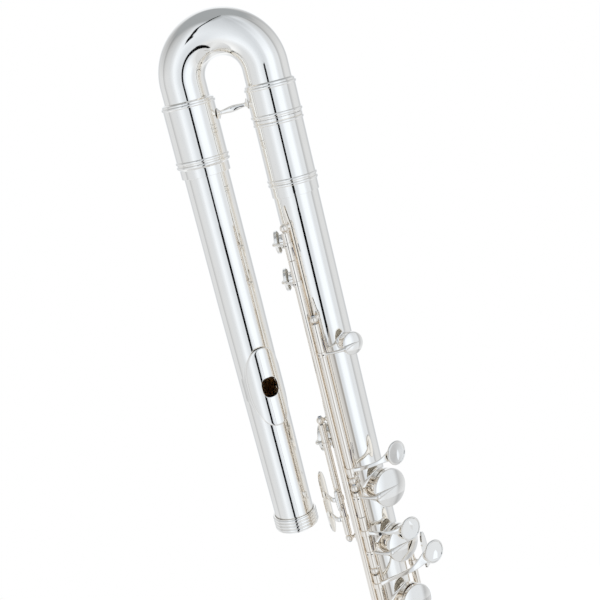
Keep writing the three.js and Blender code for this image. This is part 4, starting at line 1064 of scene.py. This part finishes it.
class FLUTE_OT_main_keys(bpy.types.Operator):
    """Builds the keys of the main line"""
    bl_idname = "flute.main_keys"
    bl_label = "Main keys"

    def execute(self, context):
        place = RODS["main"]
        a_tube, b_flat_tube = split(between(MAIN_POSTS, 2), HOLE_Z["b_flat"] - 17)
        right = split(between(MAIN_POSTS, 4), halfway("d", "e"), halfway("e", "f"), halfway("f", "f_sharp") + 5.4)
        index = touch(place, "b_flat", root=20, rise=24.2, off=15.25, line=62.5, facing=47)
        middle = touch(place, "a", root=15, rise=10.3, off=15.25, line=55.5, facing=40)
        cork_tip = turned(rounded([(0, 0), (1.15, 0), (1.15, 1.7), (0, 1.7)], 0.3), 24, DARK)
        middle.append(cork_tip.outward().shifted(24.6).on_line(10.5, HOLE_Z["a"] + 13.6))
        ring = touch(place, "g_high", root=21.5, rise=37, off=24.85, line=70, facing=41)
        z = {note: hole["z"] - ARM_DROP for note, hole in HOLES.items()}
        vent = HOLE_Z["vent"] - 3
        front = (20, -40)

        def one_cup(name, note, span, rest=(), extra=()):
            key(f"key_{name}", place, [span], [(note, z[note], f"pad_{name}")], rest, OPEN,
                pins=[(z[note], front), *extra])

        key("key_c_sharp", place, [between(MAIN_POSTS, 0)], [("vent", vent, "pad_c_sharp")], index, OPEN,
            pins=[(vent, front), (z["b_flat"] + 21.8, (20,))])
        one_cup("b_flat", "b_flat", b_flat_tube)
        one_cup("a", "a", a_tube, middle, [(z["a"] + 16.8, (20,))])
        key("key_g", place, [between(MAIN_POSTS, 3)], [(note, z[note], f"pad_{note}") for note in ("g_high", "g_low")],
            ring, OPEN, pins=[(z["g_high"], front), (z["g_low"], front)])
        for note, span in zip(("d", "e", "f", "f_sharp"), right):
            one_cup(note, note, span)
        return {"FINISHED"}


def lever(radius, line, low, high, width, point, facing=None):
    """A lever plate along the tube, softly crowned, with one end drawn to a rounded point."""
    facing = line if facing is None else facing
    length = high - low
    rows = []
    for t in np.linspace(0, 1, 28):
        along = low + length * t if point > 0 else high - length * t
        share = 1 if t < 0.5 else math.sqrt(max(1 - ((t - 0.5) / 0.5) ** 2.2, 0.003))
        if t < 0.05:
            share = 0.86 + 0.14 * math.sin(t / 0.05 * math.pi / 2)
        w = width * share
        flat = np.linspace(-1, 1, 13)
        top = [(1.8 - 0.28 * f ** 4 - 0.1 * (1 - share), f * (w / 2 - 0.02)) for f in flat]
        low_side = [(0.18 * f ** 4, f * (w / 2 - 0.02)) for f in flat[::-1]]
        rows.append(np.array([(x, y, along) for x, y in top[:1] + top + low_side]))
    plate = loft(rows)
    return plate.spun(facing - line).shifted(radius).on_line(line)


def trill_touch(z):
    """A touch between two cups, on an arm that passes over the main line."""
    place, radius = RODS["trill"], TRILL_RADIUS
    own = line_of(place)
    spots = [place, on_circle(reach_of(place) + PAST_POST, own), on_circle(radius, line_of(RODS["main"])),
             on_circle(radius + 0.6, TRILL_LINE)]
    arm = side_arm(spots, z, (4.6, 4.2, 4.2, 6.5), (3.2, 2.6, 2.2, 1.6), on_circle(1, own + 90))
    return [arm, lever(radius, TRILL_LINE, z - 8.5, z + 8.5, width=9, point=1), collar(place, z)]


class FLUTE_OT_trill_keys(bpy.types.Operator):
    """Builds the two trill keys"""
    bl_idname = "flute.trill_keys"
    bl_label = "Trill keys"

    def execute(self, context):
        place = RODS["trill"]
        low, high = HOLE_Z["trill_low"], HOLE_Z["trill_high"]
        foot_span, middle, top = split(between(TRILL_POSTS, 0), HOLE_Z["f"], low + 16.5)
        key("key_trill_low", place, [middle], [("trill_low", low, "pad_trill_low")], trill_touch(TOUCH_LOW),
            pins=[(low, (-20, -60))])
        shaft = rod(STEEL, TRILL_POSTS[1] - BALL, TRILL_POSTS[0] + BALL, 24).at(place)
        key("key_trill_high", place, [foot_span, top], [("trill_high", high, "pad_trill_high")],
            [*trill_touch(TOUCH_HIGH), shaft], pins=[(high, (-20, -60))])
        return {"FINISHED"}


def thumb_plate(low, length, arm_z, point):
    """A plate for the thumb that runs along the tube, on its arm."""
    place, radius = RODS["thumb"], THUMB_RADIUS
    own = line_of(place)
    spots = [place, on_circle((radius + reach_of(place)) / 2, own), on_circle(radius + 0.9, THUMB_LINE)]
    arm = side_arm(spots, arm_z, (4.2, 3.8, 6.0), (3.0, 2.4, 1.4), on_circle(1, own + 90))
    return [arm, lever(radius, THUMB_LINE, low, low + length, 6.4, point, THUMB_FACING),
            collar(place, arm_z)]


class FLUTE_OT_thumb_keys(bpy.types.Operator):
    """Builds the thumb keys"""
    bl_idname = "flute.thumb_keys"
    bl_label = "Thumb keys"

    def execute(self, context):
        place = RODS["thumb"]
        touch_low = THUMB_POSTS[1] + 1.2
        leaf_low = touch_low + 29.4 + GAP
        arm_z = leaf_low + 2
        b_span, leaf_span, cup_span = split(between(THUMB_POSTS, 0), arm_z - HINGE - 1.7, arm_z + 5.4)
        side = on_circle(reach_of(place) + HINGE + 1.7, -59)
        near = place * 0.3 + side * 0.7
        low, high = b_span[1] - 2.0, cup_span[0] + 2.0
        spots = [(place, low), (near, low), (side, low + 1.6), (side, high - 1.6), (near, high), (place, high)]
        bridge = strip([(spot[0], spot[1], z, 3.2, 3.2) for spot, z in spots], (1, 0, 0), fullness=2.2)
        z = HOLE_Z["thumb"]
        key("key_thumb_b", place, [b_span, cup_span], [("thumb", z, "pad_thumb")],
            [*thumb_plate(touch_low, 29.4, touch_low + 15.5, -1), bridge.about(place, OPEN)], -OPEN,
            pins=[(z, (-100, -60))])
        key("key_b_flat_lever", place, [leaf_span], (), thumb_plate(leaf_low, 20.9, arm_z, 1), -OPEN)
        return {"FINISHED"}


class FLUTE_OT_g_sharp_key(bpy.types.Operator):
    """Builds the G sharp key"""
    bl_idname = "flute.g_sharp_key"
    bl_label = "G sharp key"

    def execute(self, context):
        place, radius = RODS["g_sharp"], LEVER_RADIUS
        z = HOLE_Z["g_sharp"]
        arm_z = z + 57
        spots = [place, on_circle((radius + reach_of(place)) / 2, 99), on_circle(radius + 0.9, G_SHARP_LINE)]
        arm = side_arm(spots, arm_z, (3.6, 3.0, 5.0), (3.0, 2.4, 1.4), (0, -1, 0))
        plate = lever(radius, G_SHARP_LINE, z + 54, z + 82, width=9, point=1, facing=70)
        key("key_g_sharp", place, [between(G_SHARP_POSTS, 0)], [("g_sharp", z, "pad_g_sharp")],
            [arm, plate, collar(place, arm_z)], pins=[(z, (120, 60))])
        return {"FINISHED"}


# Foot keys


def foot_arm(line, rise, z, widths, thicknesses, side):
    """An arm from the foot's hinge tubes out to a line round the tube."""
    place = RODS["main"]
    own = line_of(place)
    spots = [place, on_circle(reach_of(place) + PAST_POST, (own + line) / 2), on_circle(LEVER_RADIUS + rise, line)]
    return side_arm(spots, z, widths, thicknesses, on_circle(1, own + side))


def roller_arm(z):
    """The arm of a foot key with its roller's pin, and the roller."""
    tip = on_circle(LEVER_RADIUS, ROLLER_LINE)

    def laid(profile, soft, sides):
        form = turned(rounded(profile, soft), sides).spun(-90, "X")
        return form.shifted(y=1.7).spun(ROLLER_LINE - 90).at(tip, z)

    arm = foot_arm(ROLLER_LINE, 0, z, (4.4, 4.2, 3.6), (3.2, 2.6, 3.2), 90)
    pin = laid([(0, -3.4), (1, -3.4), (1, 15.3), (2, 15.3), (2, 16.3), (0, 16.3)], 0.2, 28)
    roller = laid([(1.3, 0.3), (2.2, 0.3), (2.6, 1.2), (2.6, 14.1), (2.2, 15.0), (1.3, 15.0), (1.3, 0.3)], 0.4, 48)
    return [arm, pin, collar(RODS["main"], z)], roller


class FLUTE_OT_foot_keys(bpy.types.Operator):
    """Builds the foot's keys and rollers"""
    bl_idname = "flute.foot_keys"
    bl_label = "Foot keys"

    def execute(self, context):
        place = RODS["main"]
        z = HOLE_Z["d_sharp"]
        roll_c, roll_c_sharp = z - 25, z - 39
        low_c, c_sharp, c_touch, d_sharp = split(
            between(FOOT_POSTS, 0), HOLE_Z["c_sharp"] - 14, (roll_c + roll_c_sharp) / 2, z - 14)
        arm = foot_arm(D_SHARP_LINE, 0.9, z, (4.4, 4.2, 6), (3.2, 2.4, 1.4), -90)
        plate = lever(LEVER_RADIUS, D_SHARP_LINE, z - 11, z + 11, width=9, point=-1)
        key("key_low_d_sharp", place, [d_sharp], [("d_sharp", z, "pad_low_d_sharp")], [arm, plate], 0, FOOT_TURN)
        arms, roller = roller_arm(roll_c_sharp)
        key("key_low_c_sharp", place, [c_sharp], [("c_sharp", HOLE_Z["c_sharp"], "pad_low_c_sharp")], arms, OPEN,
            FOOT_TURN)
        dressed("roller_c_sharp", roller.spun(FOOT_TURN))
        arms, roller = roller_arm(roll_c)
        shaft = rod(STEEL, FOOT_POSTS[1] - BALL, FOOT_POSTS[0] + BALL, 24).at(place)
        key("key_low_c", place, [low_c, c_touch], [("c", HOLE_Z["c"], "pad_low_c")], [*arms, shaft], OPEN, FOOT_TURN,
            pins=[(roll_c, (20,)), (HOLE_Z["c"], (20,))])
        dressed("roller_c", roller.spun(FOOT_TURN))
        return {"FINISHED"}


# Springs and small trim


def beside(place, out, across, z):
    """A spot beyond a rod and to one side of it."""
    own = line_of(place)
    return on_circle(reach_of(place) + out, own, z) + on_circle(across, own + 90)


class FLUTE_OT_springs(bpy.types.Operator):
    """Builds the needle springs"""
    bl_idname = "flute.springs"
    bl_label = "Springs"

    def execute(self, context):
        plan = {
            "main": [("vent", MAIN_POSTS[0], -26, 1), ("index", MAIN_POSTS[1], 24, 1),
                     ("b_flat", MAIN_POSTS[2], -24, -1), ("a", MAIN_POSTS[3], 24, 1), ("g", MAIN_POSTS[4], 26, 1),
                     ("f_sharp", MAIN_POSTS[4], -26, -1), ("d", MAIN_POSTS[5], 28, 1)],
            "trill": [("trill", TRILL_POSTS[0], -20, 1)],
            "thumb": [("thumb", THUMB_POSTS[0], -26, -1), ("thumb_leaf", THUMB_POSTS[1], 28, 1)],
        }
        for line, springs in plan.items():
            place = RODS[line]
            for name, z, run, side in springs:
                start = beside(place, -0.4, 0, z + math.copysign(BALL * 0.8, run))
                end = beside(place, -0.6, side * (HINGE + 0.9), z + run)
                middle = (start + end) / 2 + on_circle(0.5, line_of(place) + 90) * side
                rows = [(*start, 0.75, 0.75), (*middle, 0.65, 0.65), (*end, 0.4, 0.4)]
                needle = strip(rows, (1, 0, 0), 10, 2, tips=(0.3, 0.2))
                piece(f"needle_spring_{name}", needle, ["blued"], "body")
        return {"FINISHED"}


# The studio. A ramp's stops are (place, grey of 255) with a third number where the light is cooler than elsewhere.

COOL = 0.068  # how much bluer the tent's light is than the silver is yellow
GAMMA = 2.2
EYE = (0.08816, -0.70835, 0.94709)
EYE_TURN = (75.5894, 13.4153, 4.8763)
FLOOR_SIDES = 96
TENT_FRONT = -0.35
GAP_LINES = {
    "dark_gap": (1.2, [(-79, -200), (-5, 600), (4, 700), (10, 780)]),
    "dark_gap_high": (0.95, [(10, 775), (18, 860), (22, 905), (20, 930)]),
    "dark_gap_upper": (0.6, [(-146, 1030), (-166, 1085), (-164, 1130), (-170, 1200), (-164, 1256), (-118, 1400),
                             (-85, 1568), (-32, 1820), (20, 2060), (119, 2558)]),
}
CARD_GREYS = [(0, 214, -0.05), (0.3, 206, -0.05), (0.5, 168, -0.08), (0.62, 158, -0.08), (0.74, 170, -0.08),
              (1, 216, -0.05)]
FLOOR_GREYS = [(-180, 244), (-158, 238), (-138, 205), (-118, 224), (-95, 214), (-88, 186), (-76, 214), (-50, 226),
               (-24, 240), (-8, 224), (10, 223), (70, 223), (84, 214), (92, 186), (104, 216), (130, 224), (152, 200),
               (166, 226), (180, 244)]
WALL_GREYS = [(-180, 246), (-165, 244), (-150, 226), (-138, 206), (-122, 222), (-95, 221), (-90, 188), (-85, 206),
              (-76, 220), (-48, 222, 0.02), (-38, 234, 0.03), (-28, 250, 0.04), (-18, 243, 0.05), (-6, 226, 0.05),
              (8, 218, 0.05), (20, 226, 0.05), (28, 250, 0.05), (36, 256, 0.05), (52, 256, 0.05), (60, 238, 0.05),
              (66, 227, 0.03), (84, 228, 0.03), (91, 186), (97, 206), (106, 221), (135, 221), (150, 202), (158, 203),
              (170, 220), (180, 246)]
LOW_GREYS = [(0, 252), (0.3, 252), (0.42, 236), (0.55, 228), (0.8, 230), (1, 252)]
ROOF_EDGE = [(0, 0.47), (0.29, 0.47), (0.36, 0.58), (0.48, 0.6), (0.56, 0.8), (0.72, 0.76), (0.82, 0.56), (1, 0.47)]
KEPT_LIGHT = [(-180, 0.95), (-145, 1.0), (-118, 0.47), (-85, 0.45), (-58, 0.66), (-25, 0.72), (5, 0.86), (35, 0.56),
              (65, 0.84), (95, 0.66), (150, 0.6), (180, 0.95)]
ROOF = (0.355, 0.385, 0.415, 1)
# Rises in degrees: the roof's edge at the two values that ROOF_EDGE's greys have as light, and where each part fades
ROOF_EDGE_LIGHT, ROOF_EDGE_RISE = (0.19, 0.61), (46, 76)
FLOOR_FADE, SIDE_FADE, ROOF_FADE = (-24, -42), (8, 52), (-7, 5)
WHITE = (1, 1, 1, 1)
MIX_FIRST, MIX_SECOND, MIX_RESULT = 6, 7, 2  # a mix node's sockets for colours


class FLUTE_OT_stage(bpy.types.Operator):
    """Sets up the camera, the floor and the light tent"""
    bl_idname = "flute.stage"
    bl_label = "Stage"

    def execute(self, context):
        scene = bpy.context.scene
        stage = scene.flute_stage
        scene.view_settings.view_transform = "Standard"
        lens = bpy.data.cameras.new("camera")
        lens.lens, lens.sensor_width, lens.clip_end = stage.lens, 36, 50
        eye = bpy.data.objects.new("camera", lens)
        eye.location = EYE
        eye.rotation_euler = [math.radians(a) for a in EYE_TURN]
        scene.collection.objects.link(eye)
        scene.camera = eye

        radius = stage.floor_size / 2
        mesh = bpy.data.meshes.new("studio_floor")
        angles = np.linspace(0, 2 * np.pi, FLOOR_SIDES + 1)[:-1]
        rim = [(radius * math.cos(a), radius * math.sin(a), -0.0005) for a in angles]
        mesh.from_pydata(rim, [], [tuple(range(FLOOR_SIDES))])
        floor = bpy.data.objects.new("studio_floor", mesh)
        scene.collection.objects.link(floor)
        mesh.materials.append(floor_paint(stage))

        for name, (share, line) in GAP_LINES.items():
            build_flag(name, line, stage.gap_width / MM * share)
        build_card("soft_card", start=(-19.7, -75.8), end=(20.7, -142.4), low=5, high=718)
        world_light(stage)
        return {"FINISHED"}


def reflected_only(name, points, faces, paint):
    """A stage piece, drawn in millimetres, that is seen only as a reflection."""
    mesh = bpy.data.meshes.new(name)
    mesh.from_pydata([tuple(c * MM for c in point) for point in points], [], faces)
    mesh.materials.append(paint)
    made = bpy.data.objects.new(name, mesh)
    bpy.context.scene.collection.objects.link(made)
    made.visible_camera = made.visible_diffuse = made.visible_shadow = made.visible_transmission = False


def glowing(tree, colour, strength=1.0):
    """A glow in a colour, which is a socket or a constant."""
    return put(tree, "ShaderNodeEmission", [("Color", colour)], Strength=strength).outputs[0]


def shown(tree, shader):
    """Makes a shader the one that a material shows."""
    tree.links.new(shader, tree.nodes["Material Output"].inputs[0])


def by_ray(tree, kind, others, chosen):
    """One shader for a kind of ray and another for all others."""
    ray = put(tree, "ShaderNodeLightPath").outputs[kind]
    return put(tree, "ShaderNodeMixShader", [(0, ray), (1, others), (2, chosen)]).outputs[0]


def build_card(name, start, end, low, high):
    """An upright grey card that hides the lower dark gap from the main tube. It points at the lip tube's side."""
    made, tree, _ = new_finish("card_paint")
    if tree:
        way = put(tree, "ShaderNodeTexCoord").outputs["Generated"]
        across = put(tree, "ShaderNodeSeparateXYZ", [(0, way)]).outputs[0]
        shown(tree, glowing(tree, ramp_of(tree, across, CARD_GREYS)))
    reflected_only(name, [(*start, low), (*end, low), (*end, high), (*start, high)], [(0, 1, 2, 3)], made)


def build_flag(name, line, width):
    """The dark gap between two light panels, seen only as a reflection."""
    points = []
    line = smooth(line, 8)
    for k, (x, z) in enumerate(line):
        along = np.subtract(line[min(k + 1, len(line) - 1)], line[max(k - 1, 0)])
        across = np.array([along[1], -along[0]]) * width / 2 / np.hypot(*along)
        points += [(x + way * across[0], TENT_FRONT / MM, z + way * across[1]) for way in (-1, 1)]
    faces = [(2 * k, 2 * k + 1, 2 * k + 3, 2 * k + 2) for k in range(len(line) - 1)]
    made, tree, shader = new_finish("flag_cloth")
    if tree:
        for socket, value in (("Base Color", (0.004, 0.004, 0.004, 1)), ("Roughness", 1), ("Specular IOR Level", 0)):
            shader.inputs[socket].default_value = value
    reflected_only(name, points, faces, made)


def floor_paint(stage):
    """White to the camera with a soft shadow, and a ring of greys to what mirrors it."""
    made, tree, _ = new_finish("floor_paint")
    if tree:
        paint = put(tree, "ShaderNodeBsdfDiffuse", Color=(0.82, 0.82, 0.82, 1)).outputs[0]
        both = put(tree, "ShaderNodeAddShader", [(0, paint), (1, glowing(tree, WHITE, stage.floor_glow))]).outputs[0]
        seen = by_ray(tree, "Is Camera Ray", paint, both)
        around = azimuth(tree, put(tree, "ShaderNodeTexCoord").outputs["Object"])
        mirrored = glowing(tree, ramp_of(tree, around, full_turn(FLOOR_GREYS)))
        shown(tree, by_ray(tree, "Is Glossy Ray", seen, mirrored))
    return made


def maths(tree, operation, *terms):
    """The result of one operation on sockets and constants."""
    return put(tree, "ShaderNodeMath", enumerate(terms), operation=operation).outputs[0]


def azimuth(tree, way):
    """The share of a full turn at which a direction or place lies, with the front at one half."""
    x, y, _ = put(tree, "ShaderNodeSeparateXYZ", [(0, way)]).outputs
    turn = maths(tree, "ARCTAN2", x, maths(tree, "MULTIPLY", y, -1))
    return spread(tree, turn, -math.pi, math.pi, 0, 1)


def full_turn(stops):
    """Stops at degrees from the front, as stops at shares of a full turn."""
    return [((degrees + 180) / 360, *rest) for degrees, *rest in stops]


def ramp_of(tree, source, stops):
    """A colour ramp from stops of (place, grey) or (place, grey, coolness)."""
    ramp = put(tree, "ShaderNodeValToRGB", [(0, source)])
    elements = ramp.color_ramp.elements
    while len(elements) < len(stops):
        elements.new(0.5)
    for element, stop in zip(elements, stops):
        element.position = stop[0]
    for element, (_, grey, *cool) in zip(elements, stops):
        level, cool = (grey / 255) ** GAMMA, sum(cool) + COOL
        element.color = (level * (1 - 0.5 * cool), level * (1 + 0.15 * cool), level * (1 + cool), 1)
    return ramp.outputs[0]


def mixed(tree, share, first, second):
    """Mixes two colours, each of them a socket or a constant."""
    sockets = [(0, share), (MIX_FIRST, first), (MIX_SECOND, second)]
    return put(tree, "ShaderNodeMix", sockets, data_type="RGBA").outputs[MIX_RESULT]


def world_light(stage):
    """A white tent with two bright front panels, thin seams at its sides and a greyer roof."""
    world = bpy.data.worlds.new("light_tent")
    bpy.context.scene.world = world
    world.use_nodes = True
    tree = world.node_tree
    tree.nodes.clear()
    way = put(tree, "ShaderNodeTexCoord").outputs["Generated"]
    around = azimuth(tree, way)
    rise = maths(tree, "ARCSINE", put(tree, "ShaderNodeSeparateXYZ", [(0, way)]).outputs[2])

    def over(source, low, high):
        """How far a rise, in degrees, has gone from one to the other."""
        return spread(tree, source, math.radians(low), math.radians(high), 0, 1)

    walls = ramp_of(tree, around, full_turn(WALL_GREYS))
    with_floor = mixed(tree, over(rise, *FLOOR_FADE), walls, ramp_of(tree, around, LOW_GREYS))
    kept = [(spot, 255 * share ** (1 / GAMMA), -COOL) for spot, share in full_turn(KEPT_LIGHT)]
    fade = mixed(tree, over(rise, *SIDE_FADE), WHITE, ramp_of(tree, around, kept))
    dimmed = put(tree, "ShaderNodeVectorMath", [(0, with_floor), (1, fade)], operation="MULTIPLY").outputs[0]
    edge = ramp_of(tree, around, [(spot, share * 255) for spot, share in ROOF_EDGE])
    edge = spread(tree, edge, *ROOF_EDGE_LIGHT, *map(math.radians, ROOF_EDGE_RISE))
    tent = mixed(tree, over(maths(tree, "SUBTRACT", rise, edge), *ROOF_FADE), dimmed, ROOF)
    lit, plain = (put(tree, "ShaderNodeBackground", [("Color", colour)], Strength=strength).outputs[0]
                  for colour, strength in ((tent, stage.tent_strength), (WHITE, 1)))
    put(tree, "ShaderNodeOutputWorld", [(0, by_ray(tree, "Is Camera Ray", lit, plain))])


class FLUTE_PT_panel(bpy.types.Panel):
    """Lists what the flute is built from"""
    bl_label = "Bass flute"
    bl_space_type = "VIEW_3D"
    bl_region_type = "UI"
    bl_category = "Bass flute"

    def draw(self, context):
        for group in (context.scene.flute_looks, context.scene.flute_stage):
            for field in group.__annotations__:
                self.layout.prop(group, field)
        for made in OPERATORS:
            self.layout.operator(made.bl_idname)


OPERATORS = [
    FLUTE_OT_stage,
    FLUTE_OT_body_tube,
    FLUTE_OT_foot_tube,
    FLUTE_OT_barrel,
    FLUTE_OT_bow,
    FLUTE_OT_lip_tube,
    FLUTE_OT_lip_plate,
    FLUTE_OT_crown,
    FLUTE_OT_ribs,
    FLUTE_OT_steels,
    FLUTE_OT_main_keys,
    FLUTE_OT_trill_keys,
    FLUTE_OT_thumb_keys,
    FLUTE_OT_g_sharp_key,
    FLUTE_OT_foot_keys,
    FLUTE_OT_springs,
]
CLASSES = [FluteLooks, FluteStage, *OPERATORS, FLUTE_PT_panel]


def register():
    for made in CLASSES:
        bpy.utils.register_class(made)
    bpy.types.Scene.flute_looks = bpy.props.PointerProperty(type=FluteLooks)
    bpy.types.Scene.flute_stage = bpy.props.PointerProperty(type=FluteStage)


def unregister():
    del bpy.types.Scene.flute_looks, bpy.types.Scene.flute_stage
    for made in reversed(CLASSES):
        bpy.utils.unregister_class(made)


def main():
    register()
    for made in OPERATORS:
        getattr(bpy.ops.flute, made.bl_idname.split(".")[1])()
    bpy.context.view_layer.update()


if __name__ == "__main__":
    main()
